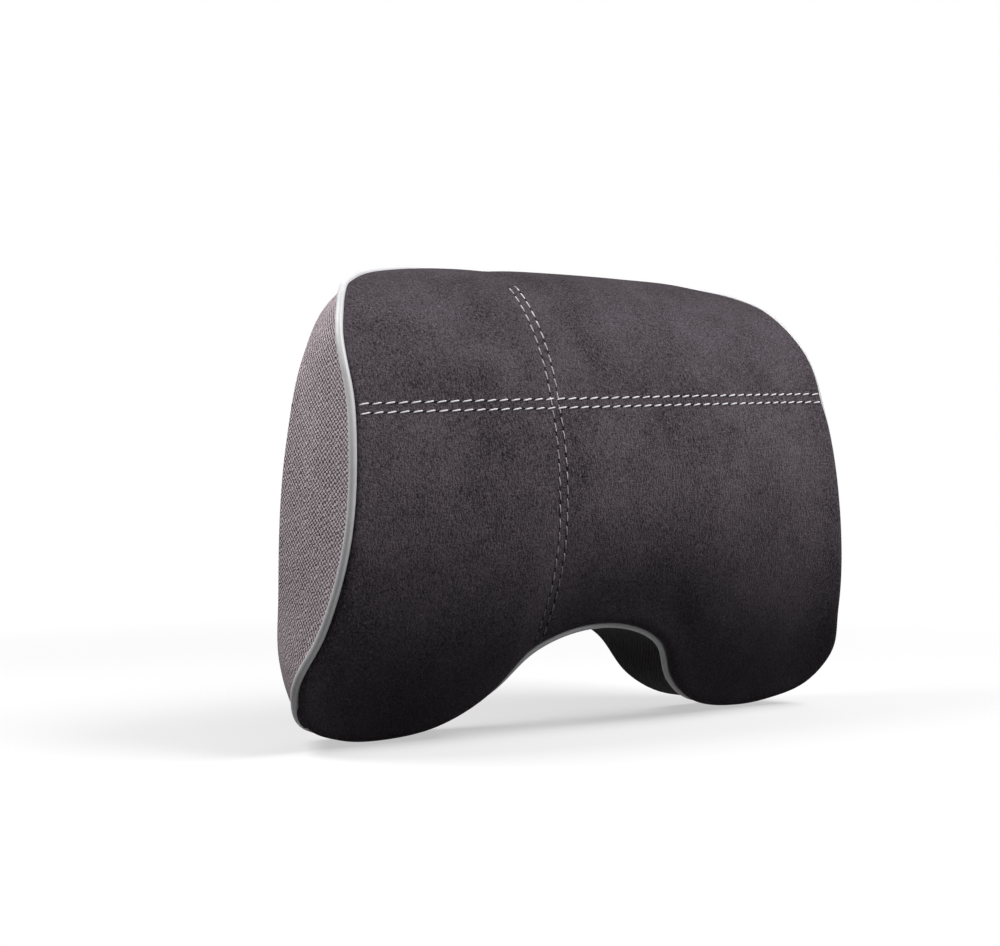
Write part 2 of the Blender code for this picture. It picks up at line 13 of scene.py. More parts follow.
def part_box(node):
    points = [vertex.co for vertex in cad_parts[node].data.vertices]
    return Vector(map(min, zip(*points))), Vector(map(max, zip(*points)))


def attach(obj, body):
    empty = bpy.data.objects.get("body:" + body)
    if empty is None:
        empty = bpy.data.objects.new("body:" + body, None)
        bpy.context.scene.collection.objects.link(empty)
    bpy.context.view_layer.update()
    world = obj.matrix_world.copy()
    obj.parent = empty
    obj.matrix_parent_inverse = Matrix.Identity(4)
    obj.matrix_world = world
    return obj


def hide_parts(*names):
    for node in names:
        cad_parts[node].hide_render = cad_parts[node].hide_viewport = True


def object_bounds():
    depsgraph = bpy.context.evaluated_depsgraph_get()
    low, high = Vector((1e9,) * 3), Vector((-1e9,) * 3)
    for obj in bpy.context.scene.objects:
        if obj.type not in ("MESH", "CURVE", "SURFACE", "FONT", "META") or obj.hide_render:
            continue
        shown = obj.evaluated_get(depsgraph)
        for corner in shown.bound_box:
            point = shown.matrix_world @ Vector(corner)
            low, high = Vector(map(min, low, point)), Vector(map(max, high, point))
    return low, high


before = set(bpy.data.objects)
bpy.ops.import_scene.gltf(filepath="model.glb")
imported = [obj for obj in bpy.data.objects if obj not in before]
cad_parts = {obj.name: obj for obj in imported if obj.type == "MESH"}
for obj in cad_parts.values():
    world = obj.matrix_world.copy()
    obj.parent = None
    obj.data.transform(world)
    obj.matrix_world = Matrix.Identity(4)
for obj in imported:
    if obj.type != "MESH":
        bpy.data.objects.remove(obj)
solids_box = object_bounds()
for starter in ("Cube", "Camera", "Light"):
    if starter in bpy.data.objects:
        bpy.data.objects.remove(bpy.data.objects[starter])

MM = 0.001


# Studio
# A plain pale floor just under the pillow, soft lamps above it, and a level camera
# a little off its front, as a catalogue picture of it would be taken.
class Shade:
    """One socket of a node tree. Arithmetic on shades adds Math nodes."""

    def __init__(self, tree, socket=None):
        self.tree = tree
        self.socket = socket

    def node(self, kind, settings=(), sockets=(), output=0):
        """Adds a node, sets it up, feeds its sockets, and gives back one of its outputs."""
        made = self.tree.nodes.new(kind)
        for name, value in dict(settings).items():
            if name == "stops":
                set_stops(made.color_ramp, value)
            else:
                setattr(made, name, value)
        for name, value in dict(sockets).items():
            self.feed(made.inputs[name], value)
        return Shade(self.tree, made.outputs[output])

    def feed(self, socket, value):
        if isinstance(value, Shade):
            self.tree.links.new(value.socket, socket)
        else:
            socket.default_value = value

    def math(self, operation, *values):
        return self.node("ShaderNodeMath", {"operation": operation}, dict(enumerate(values)))

    def __add__(self, other):
        return self.math("ADD", self, other)

    def __radd__(self, other):
        return self.math("ADD", other, self)

    def __sub__(self, other):
        return self.math("SUBTRACT", self, other)

    def __rsub__(self, other):
        return self.math("SUBTRACT", other, self)

    def __mul__(self, other):
        return self.math("MULTIPLY", self, other)

    def __rmul__(self, other):
        return self.math("MULTIPLY", other, self)

    def __truediv__(self, other):
        return self.math("DIVIDE", self, other)

    def wave(self):
        return self.math("COSINE", self * (2 * pi))

    def ramp(self, *stops):
        return self.node("ShaderNodeValToRGB", {"stops": stops}, {0: self})

    def mix(self, low, high):
        """A colour that goes from low to high as this number goes from 0 to 1."""
        ends = [value if isinstance(value, Shade) else (*value, 1.0) for value in (low, high)]
        sockets = {0: self, 6: ends[0], 7: ends[1]}
        return self.node("ShaderNodeMix", {"data_type": "RGBA"}, sockets, output=2)


def set_stops(ramp, stops):
    while len(ramp.elements) < len(stops):
        ramp.elements.new(1.0)
    for element, (place, value) in zip(ramp.elements, stops):
        element.position = place
        element.color = (value, value, value, 1.0)


def seen_directly(tree):
    """1 for the rays that show the backdrop itself: the camera's, mirrored and refracted ones."""
    path = Shade(tree)
    camera_ray, mirrored, refracted = (
        path.node("ShaderNodeLightPath", output=name)
        for name in ("Is Camera Ray", "Is Glossy Ray", "Is Transmission Ray")
    )
    return path.math("MAXIMUM", camera_ray, path.math("MAXIMUM", mirrored, refracted))


def aim_lamp(name, place, target, size, power, color):
    """A square softbox that faces a point."""
    lamp = bpy.data.lights.new(name, "AREA")
    lamp.size = size
    lamp.energy = power
    lamp.color = color
    holder = bpy.data.objects.new(name, lamp)
    holder.location = place
    holder.rotation_euler = (Vector(target) - Vector(place)).to_track_quat("-Z", "Y").to_euler()
    bpy.context.scene.collection.objects.link(holder)


camera = bpy.data.objects.new("camera", bpy.data.cameras.new("camera"))
camera.location = (-0.4913, -0.6985, -0.0500)
camera.rotation_euler = (radians(90 - 0.42), 0, radians(-34.01))
camera.data.sensor_width = 36
camera.data.lens = 64.94
bpy.context.scene.collection.objects.link(camera)
bpy.context.scene.camera = camera
bpy.context.scene.view_settings.view_transform = "Standard"

MIDDLE = (0, -0.03, -0.05)
aim_lamp("key softbox", (0.62, -0.78, 1.12), MIDDLE, 0.8, 28, (1.0, 0.99, 0.985))
aim_lamp("left softbox", (-0.40, 0.12, 0.40), MIDDLE, 0.3, 3.1, (1.0, 0.985, 0.98))
aim_lamp("right edge softbox", (0.70, 0.30, 0.75), MIDDLE, 0.6, 0.9, (0.98, 0.985, 1.0))

world = bpy.data.worlds.new("studio")
bpy.context.scene.world = world
world.use_nodes = True
world.node_tree.nodes.clear()
air = Shade(world.node_tree)
room = air.node("ShaderNodeBackground", (), {"Color": (0.9, 0.92, 0.95, 1), "Strength": 0.045})
backdrop = air.node("ShaderNodeBackground", (), {"Color": (1, 1, 1, 1), "Strength": 1.0})
air_shown = {0: seen_directly(world.node_tree), 1: room, 2: backdrop}
shown = air.node("ShaderNodeMixShader", (), air_shown)
world_end = world.node_tree.nodes.new("ShaderNodeOutputWorld")
air.feed(world_end.inputs["Surface"], shown)

FLOOR_REACH = 4.0
FLOOR_CLEAR = 0.15
paper = bpy.data.materials.new("pale floor")
paper.use_nodes = True
paper.node_tree.nodes.clear()
sweep = Shade(paper.node_tree)
ground = sweep.node("ShaderNodeTexCoord", output="Object")
away = sweep.node("ShaderNodeVectorMath", {"operation": "LENGTH"}, {0: ground}, output="Value")
fade = ((away - FLOOR_CLEAR) / 0.45).ramp((0.0, 0.45), (1.0, 1.0))
dim = sweep.node("ShaderNodeBsdfDiffuse", (), {"Color": (0.1, 0.1, 0.1, 1)})
pale = sweep.node("ShaderNodeBsdfDiffuse", (), {"Color": (0.86, 0.86, 0.87, 1)})
white = sweep.node("ShaderNodeEmission", (), {"Color": (1, 1, 1, 1), "Strength": 1.0})
lit = sweep.node("ShaderNodeMixShader", (), {0: fade, 1: pale, 2: white})
floor_shown = {0: seen_directly(paper.node_tree), 1: dim, 2: lit}
surface = sweep.node("ShaderNodeMixShader", (), floor_shown)
paper_end = paper.node_tree.nodes.new("ShaderNodeOutputMaterial")
sweep.feed(paper_end.inputs["Surface"], surface)

bm = bmesh.new()
bmesh.ops.create_grid(bm, x_segments=8, y_segments=8, size=FLOOR_REACH)
bmesh.ops.translate(bm, vec=(0, 0, solids_box[0].z - 0.5 * MM), verts=bm.verts)
mesh = bpy.data.meshes.new("floor")
bm.to_mesh(mesh)
bm.free()
mesh.materials.append(paper)
studio_floor = bpy.data.objects.new("floor", mesh)
bpy.context.scene.collection.objects.link(studio_floor)


# Foam core
# One block of slow-recovery memory foam, moulded to a notched and crowned form with a
# flat back. The cover is cut to the same form, so the form's own sizes stand here.
WIDTH = 297 * MM
HEIGHT = 204 * MM
WIDEST_HEIGHT = 23 * MM
SHOULDER_WIDTH = WIDTH - 40 * MM
SHOULDER_FALL = 30 * MM
CORNER_FALL = 10.5 * MM
WAIST_WIDTH = WIDTH - 35 * MM
WAIST_HEIGHT = 140 * MM
LOBE_SPACING = WIDTH - 95 * MM
NOTCH_WIDTH = 102 * MM
NOTCH_RISE = 44 * MM
BACK_WIDTH = WIDTH - 25 * MM
BACK_SHOULDER_WIDTH = BACK_WIDTH - 48 * MM
BACK_SHOULDER_FALL = 18 * MM
BACK_FOOT_WIDTH = BACK_WIDTH - 18 * MM
MAX_DEPTH = 64 * MM
DEEPEST_HEIGHT = 95 * MM
TOP_DEPTH = 3 * MM
FOOT_DEPTH = 21 * MM
FRONT_CROWN = 10 * MM
GUSSET_PUFF = 2 * MM
MOUNT_HEIGHT = 168 * MM
TOP_ROUNDNESS = 1.1
FOOT_ROUNDNESS = 1.6
CROWN_ACROSS = 2.6
CROWN_DOWN = 3.0
END_CROWDING = 0.3
CURVE_STEPS = 24
PROFILE_STEPS = 120
TOP_EASING = 40
TOP_STEPS = 60
FOAM_INSET = 2.9 * MM
SAME = 1e-6


def level(height):
    """Z of a height above the lobes."""
    return height - MOUNT_HEIGHT


def smooth_curve(anchors):
    """Points (x, height) on a smooth curve through the anchors, level where it crosses x = 0."""
    mirror = np.array([-1.0, 1.0])
    points = np.array(anchors)
    padded = np.vstack([points[1] * mirror, points, points[-2] * mirror])
    spans = np.linalg.norm(np.diff(padded, axis=0), axis=1)[:, None]
    slopes = np.diff(padded, axis=0) / spans
    tangents = (slopes[:-1] * spans[1:] + slopes[1:] * spans[:-1]) / (spans[:-1] + spans[1:])
    curve = []
    for i in range(len(points) - 1):
        start, end = points[i], points[i + 1]
        leave, arrive = tangents[i] * spans[i + 1], tangents[i + 1] * spans[i + 1]
        for t in np.arange(CURVE_STEPS) / CURVE_STEPS:
            a = 2 * t**3 - 3 * t**2 + 1
            b = t**3 - 2 * t**2 + t
            c = t**3 - t**2
            curve.append(a * start + b * leave + (1 - a) * end + c * arrive)
    curve.append(points[-1])
    return np.array(curve)


def split_curve(top, side, bottom):
    curve = smooth_curve(top + side + bottom)
    first = (len(top) - 1) * CURVE_STEPS
    last = (len(top) + len(side) - 1) * CURVE_STEPS
    return curve[: first + 1], curve[first : last + 1], curve[last:][::-1]


def notch_anchors():
    """The arch over the neck, from the lobe's lowest point to the middle of the arch."""
    lobe, notch = LOBE_SPACING / 2, NOTCH_WIDTH / 2
    return [
        (lobe, 0),
        (lobe - 0.62 * (lobe - notch), 0.1 * NOTCH_RISE),
        (notch, 0.36 * NOTCH_RISE),
        (0.725 * notch, 0.75 * NOTCH_RISE),
        (0, NOTCH_RISE),
    ]


def front_outline():
    """Right half of the front's outline as curves for its top, side and bottom."""
    half, shoulder, waist = WIDTH / 2, SHOULDER_WIDTH / 2, WAIST_WIDTH / 2
    lobe = LOBE_SPACING / 2
    flare, drop = half - waist, WAIST_HEIGHT - WIDEST_HEIGHT
    top = [
        (0, HEIGHT),
        (0.62 * shoulder, HEIGHT - 0.12 * CORNER_FALL),
        (0.91 * shoulder, HEIGHT - CORNER_FALL),
    ]
    side = [
        (shoulder, HEIGHT - SHOULDER_FALL),
        (waist, WAIST_HEIGHT),
        (waist + 0.34 * flare, WIDEST_HEIGHT + 0.46 * drop),
        (waist + 0.67 * flare, WIDEST_HEIGHT + 0.2 * drop),
        (half, WIDEST_HEIGHT),
        (lobe + 0.87 * (half - lobe), 0.45 * WIDEST_HEIGHT),
    ]
    foot = [(lobe + 0.4 * (half - lobe), 0.06 * WIDEST_HEIGHT)]
    return split_curve(top, side, foot + notch_anchors())


def back_outline():
    """Right half of the back's outline, with its top and its notch over the front's."""
    half, shoulder, foot = BACK_WIDTH / 2, BACK_SHOULDER_WIDTH / 2, BACK_FOOT_WIDTH / 2
    lobe = LOBE_SPACING / 2
    top = [
        (0, HEIGHT),
        (0.62 * shoulder, HEIGHT - 0.08 * BACK_SHOULDER_FALL),
        (0.9 * shoulder, HEIGHT - 0.5 * BACK_SHOULDER_FALL),
    ]
    side = [
        (shoulder, HEIGHT - BACK_SHOULDER_FALL),
        (0.5 * (shoulder + half), HEIGHT - 2.3 * BACK_SHOULDER_FALL),
        (half - 0.16 * (half - shoulder), 0.9 * WAIST_HEIGHT),
        (half, 0.43 * WAIST_HEIGHT),
        (half - 0.1 * (half - foot), 1.3 * WIDEST_HEIGHT),
        (foot, 0.43 * WIDEST_HEIGHT),
    ]
    bottom = [(lobe + 0.45 * (foot - lobe), 0.07 * WIDEST_HEIGHT)]
    return split_curve(top, side, bottom + notch_anchors())


def side_profile():
    """Arc length, height and depth from the top seam round the front to the lobes."""
    angle = np.linspace(0, pi / 2, PROFILE_STEPS)
    upper_height = DEEPEST_HEIGHT + (HEIGHT - DEEPEST_HEIGHT) * np.cos(angle)
    upper_depth = TOP_DEPTH + (MAX_DEPTH - TOP_DEPTH) * np.sin(angle) ** TOP_ROUNDNESS
    lower_height = DEEPEST_HEIGHT * (1 - np.sin(angle))
    lower_depth = FOOT_DEPTH + (MAX_DEPTH - FOOT_DEPTH) * abs(np.cos(angle)) ** FOOT_ROUNDNESS
    heights = np.concatenate([upper_height, lower_height[1:]])
    depths = np.concatenate([upper_depth, lower_depth[1:]])
    lengths = np.concatenate([[0], np.hypot(np.diff(heights), np.diff(depths)).cumsum()])
    return lengths, heights, depths


LENGTHS, HEIGHTS, DEPTHS = side_profile()
FRONT_TOP, FRONT_SIDE, FRONT_BOTTOM = front_outline()
BACK_TOP, BACK_SIDE, BACK_BOTTOM = back_outline()


def length_at(height):
    return np.interp(-height, -HEIGHTS, LENGTHS)


def eased(values):
    """Values along the top seam with the bend beside its level middle drawn out."""
    for _ in range(TOP_EASING):
        between = (values[:-2] + 2 * values[1:-1] + values[2:]) / 4
        values = np.concatenate([values[:1], between, values[-1:]])
    return values


TOP_REACHES = np.linspace(0, FRONT_TOP[-1][0], TOP_STEPS)
TOP_LENGTHS = eased(length_at(np.interp(TOP_REACHES, FRONT_TOP[:, 0], FRONT_TOP[:, 1])))


def front_point(across, down):
    """Point on the form's front. across runs from -1 to 1, down from 0 at the top to 1."""
    corner, foot = length_at(FRONT_SIDE[0][1]), length_at(FRONT_SIDE[-1][1])
    side_lengths = length_at(FRONT_SIDE[:, 1])
    x = across * np.interp(corner + down * (foot - corner), side_lengths, FRONT_SIDE[:, 0])
    top = np.interp(abs(across) * FRONT_TOP[-1][0], TOP_REACHES, TOP_LENGTHS)
    reach = abs(across) * FRONT_BOTTOM[-1][0]
    bottom = length_at(np.interp(reach, FRONT_BOTTOM[:, 0], FRONT_BOTTOM[:, 1]))
    length = top + down * (bottom - top)
    height = np.interp(length, LENGTHS, HEIGHTS)
    depth = np.interp(length, LENGTHS, DEPTHS)
    rise = np.interp(length, LENGTHS, np.gradient(HEIGHTS, LENGTHS))
    reach_out = np.interp(length, LENGTHS, np.gradient(DEPTHS, LENGTHS))
    crown = FRONT_CROWN * (1 - abs(across) ** CROWN_ACROSS) * (1 - abs(2 * down - 1) ** CROWN_DOWN)
    return Vector((x, -depth + crown * rise, level(height) + crown * reach_out))


def back_point(across, down):
    """Point on the form's flat back, for the same across and down as the front's."""
    corner, foot = BACK_SIDE[0][1], BACK_SIDE[-1][1]
    height = corner + down * (foot - corner)
    x = across * np.interp(-height, -BACK_SIDE[:, 1], BACK_SIDE[:, 0])
    top = np.interp(abs(across) * BACK_TOP[-1][0], BACK_TOP[:, 0], BACK_TOP[:, 1])
    bottom = np.interp(abs(across) * BACK_BOTTOM[-1][0], BACK_BOTTOM[:, 0], BACK_BOTTOM[:, 1])
    return Vector((x, 0, level(top + down * (bottom - top))))


def back_half_width(height):
    return np.interp(-height, -BACK_SIDE[:, 1], BACK_SIDE[:, 0])


def form_point(across, down, through):
    """Point on the form's outside: through is 0 on the front and 1 on the back."""
    front, back = front_point(across, down), back_point(across, down)
    point = front.lerp(back, through)
    if abs(across) > 1 - SAME:
        swell = 4 * through * (1 - through) * (back - front).length / MAX_DEPTH
        point.x += across * GUSSET_PUFF * swell
    return point


def crowded(share):
    """A share from -1 to 1 across the form, moved towards its nearer end."""
    return (1 - END_CROWDING) * share + END_CROWDING * sin(share * pi / 2)


def panel_of(center):
    """Which panel of the cover lies over a face of the cube that the form starts from."""
    edge = 0.5 - SAME
    if center.z < -edge:
        return b"front"
    if center.z > edge or center.y < -edge:
        return b"back"
    if center.y > edge:
        return b"bottom"
    return b"left" if center.x < 0 else b"right"


def mould_form(columns, rows, layers, strip_row=None):
    """The form's closed outside: a cube cut into a lattice, each point carried to its place."""
    bm = bmesh.new()
    bmesh.ops.create_cube(bm, size=1)
    for axis, count in enumerate((columns, rows, layers)):
        along = [
            edge
            for edge in bm.edges
            if abs((edge.verts[0].co - edge.verts[1].co)[axis]) > SAME
        ]
        bmesh.ops.subdivide_edges(bm, edges=along, cuts=count - 1, use_grid_fill=True)
    panel = bm.faces.layers.string.new("panel")
    for face in bm.faces:
        face[panel] = panel_of(face.calc_center_median())
    for vert in bm.verts:
        across = crowded(2 * vert.co.x)
        down = (crowded(2 * vert.co.y) + 1) / 2
        through = vert.co.z + 0.5
        if strip_row and down < SAME and SAME < through < 1 - SAME:
            through = strip_row
        vert.co = form_point(across, down, through)
    bm.normal_update()
    return bm


def place_piece(name, bm, material, slot, *nodes, body="pillow"):
    """Makes a finished piece of a bmesh, standing for these CAD nodes."""
    mesh = bpy.data.meshes.new(name)
    bm.to_mesh(mesh)
    bm.free()
    mesh.shade_smooth()
    mesh.materials.append(material)
    piece = bpy.data.objects.new(name, mesh)
    bpy.context.scene.collection.objects.link(piece)
    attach(piece, body)
    if nodes:
        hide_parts(*nodes)
    return piece


def subdivide(piece, levels, border="PRESERVE_CORNERS"):
    rounding = piece.modifiers.new("rounding", "SUBSURF")
    rounding.levels = levels
    rounding.render_levels = levels
    rounding.boundary_smooth = border


def new_finish(name, constants):
    """A material with its constants on the shader's own sockets. Gives it, a Shade and the shader."""
    material = bpy.data.materials.new(name)
    material.use_nodes = True
    shader = material.node_tree.nodes["Principled BSDF"]
    for socket, value in constants.items():
        shader.inputs[socket].default_value = value
    return material, Shade(material.node_tree), shader


def speckle(shade, place, stretch, detail=2.0, roughness=0.5):
    """Noise over a place, with so many features to the metre along each axis."""
    sized = shade.node("ShaderNodeVectorMath", {"operation": "MULTIPLY"}, {0: place, 1: stretch})
    sockets = {"Vector": sized, "Scale": 1.0, "Detail": detail, "Roughness": roughness}
    return shade.node("ShaderNodeTexNoise", (), sockets)


def raise_grain(shade, shader, height, distance, strength=1.0):
    sockets = {"Height": height, "Distance": distance, "Strength": strength}
    shade.feed(shader.inputs["Normal"], shade.node("ShaderNodeBump", (), sockets))


def tint(shader, tone, dark, light):
    """Colours a surface from dark to light as its tone goes from 0 to 1."""
    tone.feed(shader.inputs["Base Color"], tone.mix(dark, light))


foam_finish, shade, shader = new_finish(
    "memory foam", {"Roughness": 0.95, "Specular IOR Level": 0.2, "Subsurface Weight": 0.0}
)
place = shade.node("ShaderNodeTexCoord", output="Object")
cells = shade.node("ShaderNodeTexVoronoi", (), {"Vector": place, "Scale": 900.0})
patches = speckle(shade, place, (30, 30, 30), 3.0)
tint(shader, patches, (0.80, 0.76, 0.60), (0.90, 0.87, 0.74))
raise_grain(shade, shader, cells, 0.3 * MM)

bm = mould_form(30, 20, 5)
for vert in bm.verts:
    vert.co -= vert.normal * vert.calc_shell_factor() * FOAM_INSET
foam = place_piece("moulded_foam", bm, foam_finish, "foam", "foam_core")
subdivide(foam, 1)


# Suede front
# One piece of dark brushed microsuede, stretched over the crowned front. Its edge turns
# in to the piped seam, and two double rows of topstitching draw it down a little.
TURN_IN = 0.6 * MM
SEAM_GAP = 0.2 * MM
TURN_RINGS = (0.35 * MM, 0.4 * MM, 0.45 * MM)
PANEL_THICKNESS = 1.1 * MM
ROW_SPACING = 3.9 * MM
UPRIGHT_ROW_X = -36 * MM
LEVEL_ROW_Z = -24.5 * MM
ROW_TILT = 0.036
ROW_HOOK = 1.2 * MM
ROW_DIP = 0.28 * MM
ROW_SWAG = 0.5 * MM
SLACK = 0.45 * MM
SUEDE_ENDS = (-139 * MM, 132 * MM)
SEAM_STATIONS = 2080
SEAM_SHARE = 4
SEAM_FLAT = 0.9 * MM
SEAM_EVENING = 30
WAY_EVENING = 500
PLUMP = 3.4 * MM
PLUMP_REACH = 4 * MM
PLUMP_EVEN = 0.8
PLUMP_TO_RIGHT = 0.4
PLUMP_TO_FOOT = 0.75
ARCH_REACH = 0.6 * NOTCH_WIDTH
ARCH_EVEN = 0.3
ARCH_TO_LEFT = 1.2
PUCKER_WIDTH = 0.9 * MM
SWAG_WIDTH = 9 * MM
HOOK_LENGTH = 9 * MM

form = mould_form(52, 34, 2, strip_row=0.8)


def off_border(edge):
    """Unit vector in the sheet that points away from a border edge."""
    start, end = (vert.co for vert in edge.verts)
    along = (end - start).normalized()
    across = edge.link_faces[0].calc_center_median() - (start + end) / 2
    return (across - along * across.dot(along)).normalized()


def draw_back_border(bm, distance):
    """Moves an open sheet's border in along the sheet, so that it clears the next panel."""
    moves = {}
    for vert in bm.verts:
        border = [off_border(edge) for edge in vert.link_edges if edge.is_boundary]
        if len(border) == 2:
            moves[vert] = sum(border, Vector()) * distance / (1 + border[0].dot(border[1]))
    for vert, move in moves.items():
        vert.co += move


def turned_in(distance):
    """How far cloth lies under its face at a distance from the edge of its seam."""
    if distance > 2 * TURN_IN:
        return 0
    return TURN_IN * (1 - sqrt(1 - (1 - distance / (2 * TURN_IN)) ** 2))


def turn_border_in(bm):
    """Cuts rings beside the border and rolls them down into the seam."""
    field = set(bm.faces)
    for width in TURN_RINGS:
        made = bmesh.ops.inset_region(
            bm, faces=list(field), thickness=width, use_boundary=True, use_even_offset=True
        )
        field -= set(made["faces"])
    bm.normal_update()
    ring = {vert for vert in bm.verts if vert.is_boundary}
    done, distance, moves = set(), 0, {}
    for width in (*TURN_RINGS, 0):
        moves.update((vert, vert.normal * turned_in(distance)) for vert in ring)
        done |= ring
        ring = {e.other_vert(vert) for vert in ring for e in vert.link_edges} - done
        distance += width
    for vert, move in moves.items():
        vert.co -= move


def cut_panel(region, border="PRESERVE_CORNERS"):
    """One panel of the cover as a finely cut sheet, with its edges turned in to its seams."""
    bm = form.copy()
    panel = bm.faces.layers.string["panel"]
    others = [face for face in bm.faces if face[panel] != region]
    bmesh.ops.delete(bm, geom=others, context="FACES")
    draw_back_border(bm, TURN_IN + SEAM_GAP / 2)
    turn_border_in(bm)
    pattern = bpy.data.objects.new("pattern", bpy.data.meshes.new("pattern"))
    bm.to_mesh(pattern.data)
    bm.free()
    bpy.context.scene.collection.objects.link(pattern)
    subdivide(pattern, 2, border)
    bpy.context.view_layer.update()
    graph = bpy.context.evaluated_depsgraph_get()
    bm = bmesh.new()
    bm.from_mesh(bpy.data.meshes.new_from_object(pattern.evaluated_get(graph)))
    bpy.data.objects.remove(pattern)
    bm.normal_update()
    return bm


def place_panel(name, bm, material, slot, node):
    """Makes a cover panel of a finished sheet, with its thickness inwards from its face."""
    panel = place_piece(name, bm, material, slot, node)
    wall = panel.modifiers.new("thickness", "SOLIDIFY")
    wall.thickness = PANEL_THICKNESS
    wall.offset = -1


def lay_pattern(bm, unroll):
    """A UV map in metres, where unroll gives a point's place on the flat cloth."""
    layer = bm.loops.layers.uv.new("cloth")
    for face in bm.faces:
        for loop in face.loops:
            loop[layer].uv = unroll(loop.vert.co)


def dip(distance, width):
    return np.exp(-((distance / width) ** 2))


def level_row_z(x):
    """Height of the level rows' middle, which climb a little and hook down at the side seams."""
    low, high = SUEDE_ENDS
    hooks = exp((low - x) / HOOK_LENGTH) + 0.4 * exp((x - high) / HOOK_LENGTH)
    return LEVEL_ROW_Z + ROW_TILT * x - ROW_HOOK * hooks


def drawn_down(point):
    """How far stitching and slack move the suede, inwards from its form."""
    beside_upright = abs(point.x - UPRIGHT_ROW_X)
    beside_level = abs(point.z - level_row_z(point.x))
    depth = 0
    for beside in (beside_upright, beside_level):
        depth += ROW_DIP * dip(beside - ROW_SPACING / 2, PUCKER_WIDTH)
        depth += ROW_SWAG * dip(beside, SWAG_WIDTH)
    depth += SLACK * noise.noise(Vector((point.x * 22, point.y * 16, point.z * 16)))
    return depth


def unit_rows(rows):
    return rows / np.linalg.norm(rows, axis=1)[:, None]


def even_out(rows, passes):
    for _ in range(passes):
        rows = (np.roll(rows, 1, 0) + 2 * rows + np.roll(rows, -1, 0)) / 4
    return rows


def trace_seam():
    """Evenly spaced points of the front seam, with the front's and the side's normals there."""
    fine = mould_form(120, 80, 3)
    panel = fine.faces.layers.string["panel"]
    links = {}
    for edge in fine.edges:
        if {face[panel] == b"front" for face in edge.link_faces} == {True, False}:
            for vert in edge.verts:
                links.setdefault(vert, []).append(edge.other_vert(vert))
    start = next(iter(links))
    loop, last, here = [start], start, links[start][0]
    while here != start:
        loop.append(here)
        last, here = here, [vert for vert in links[here] if vert != last][0]
    columns = [[vert.co for vert in loop]]
    for at_front in (True, False):
        ways = []
        for vert in loop:
            beside = [f.normal for f in vert.link_faces if (f[panel] == b"front") == at_front]
            ways.append(sum(beside, Vector()))
        columns.append(ways)
    rows = np.array(columns)
    rows = np.concatenate([rows, rows[:, :1]], axis=1)
    fine.free()
    lengths = np.linalg.norm(np.diff(rows[0], axis=0), axis=1).cumsum()
    lengths = np.concatenate([[0], lengths])
    wanted = np.linspace(0, lengths[-1], SEAM_STATIONS, endpoint=False)
    points, fronts, sides = (
        np.stack([np.interp(wanted, lengths, row[:, axis]) for axis in range(3)], axis=1)
        for row in rows
    )
    fronts, sides = (unit_rows(even_out(ways, WAY_EVENING)) for ways in (fronts, sides))
    return even_out(points, SEAM_EVENING), fronts, sides


seam_points, front_ways, side_ways = trace_seam()
seam_tree = KDTree(SEAM_STATIONS)
for station, point in enumerate(seam_points):
    seam_tree.insert(point, station)
seam_tree.balance()


def plump(point):
    """How far and which way the foam pushes the suede out beside the seam.

    The arch over the neck is sewn tighter than the rest, most of all down its left leg.
    """
    _, station, distance = seam_tree.find(point)
    share = max(0, distance - SEAM_FLAT) / PLUMP_REACH
    way = Vector(unit_rows(front_ways[station : station + 1] + side_ways[station : station + 1])[0])
    fullness = PLUMP_EVEN + PLUMP_TO_RIGHT * way.x - PLUMP_TO_FOOT * way.z
    if point.z < level(HEIGHT / 2):
        in_arch = ARCH_EVEN - ARCH_TO_LEFT * way.x
        fullness += dip(point.x, ARCH_REACH) * (in_arch - fullness)
    return way * (PLUMP * fullness * share * exp(1 - share))


suede, shade, shader = new_finish(
    "brushed microsuede",
    {
        "Roughness": 0.92,
        "Specular IOR Level": 0.06,
        "Sheen Weight": 0.02,
        "Sheen Roughness": 0.4,
        "Sheen Tint": (0.86, 0.8, 0.86, 1),
    },
)
place = shade.node("ShaderNodeTexCoord", output="Object")
clouds = speckle(shade, place, (24, 20, 20), 4.0, 0.6).ramp((0.34, 0.0), (0.66, 1.0))
blots = speckle(shade, place, (90, 75, 75), 3.0, 0.6).ramp((0.3, 0.0), (0.7, 1.0))
streaks = speckle(shade, place, (1100, 1100, 420), 2.0, 0.6).ramp((0.35, 0.0), (0.65, 1.0))
fuzz = speckle(shade, place, (1500, 1500, 1300), 2.0, 0.8).ramp((0.38, 0.0), (0.62, 1.0))
glints = speckle(shade, place, (1250, 1250, 1100), 1.0, 0.5).ramp((0.62, 0.0), (0.72, 1.0))
# Painted shade: the suede's colour darkens by height along its top band and towards its foot, where
# less light falls on it.
height = shade.node("ShaderNodeSeparateXYZ", (), {0: place}, output=2)
painted_shade_by_height = ((height + 0.17) / 0.21).ramp(
    (0.05, 0.56), (0.29, 0.66), (0.52, 0.98), (0.67, 1.0), (0.86, 0.78), (0.95, 0.52)
)
grain = clouds * 0.2 + blots * 0.12 + streaks * 0.26 + fuzz * 0.4 + glints * 0.5 - 0.04
tone = grain * painted_shade_by_height * 1.3
tint(shader, tone, (0.004, 0.003, 0.004), (0.172, 0.147, 0.169))
raise_grain(shade, shader, streaks * 0.4 + fuzz * 0.6 + blots * 0.6, 0.35 * MM)

bm = cut_panel(b"front", border="ALL")
for vert in bm.verts:
    vert.co += plump(vert.co)
bm.normal_update()
for vert in bm.verts:
    vert.co -= vert.normal * drawn_down(vert.co)
bm.normal_update()
front_face = BVHTree.FromBMesh(bm)
lay_pattern(bm, lambda point: (point.x, point.z))
place_panel("suede_front", bm, suede, "suede", "front_panel")


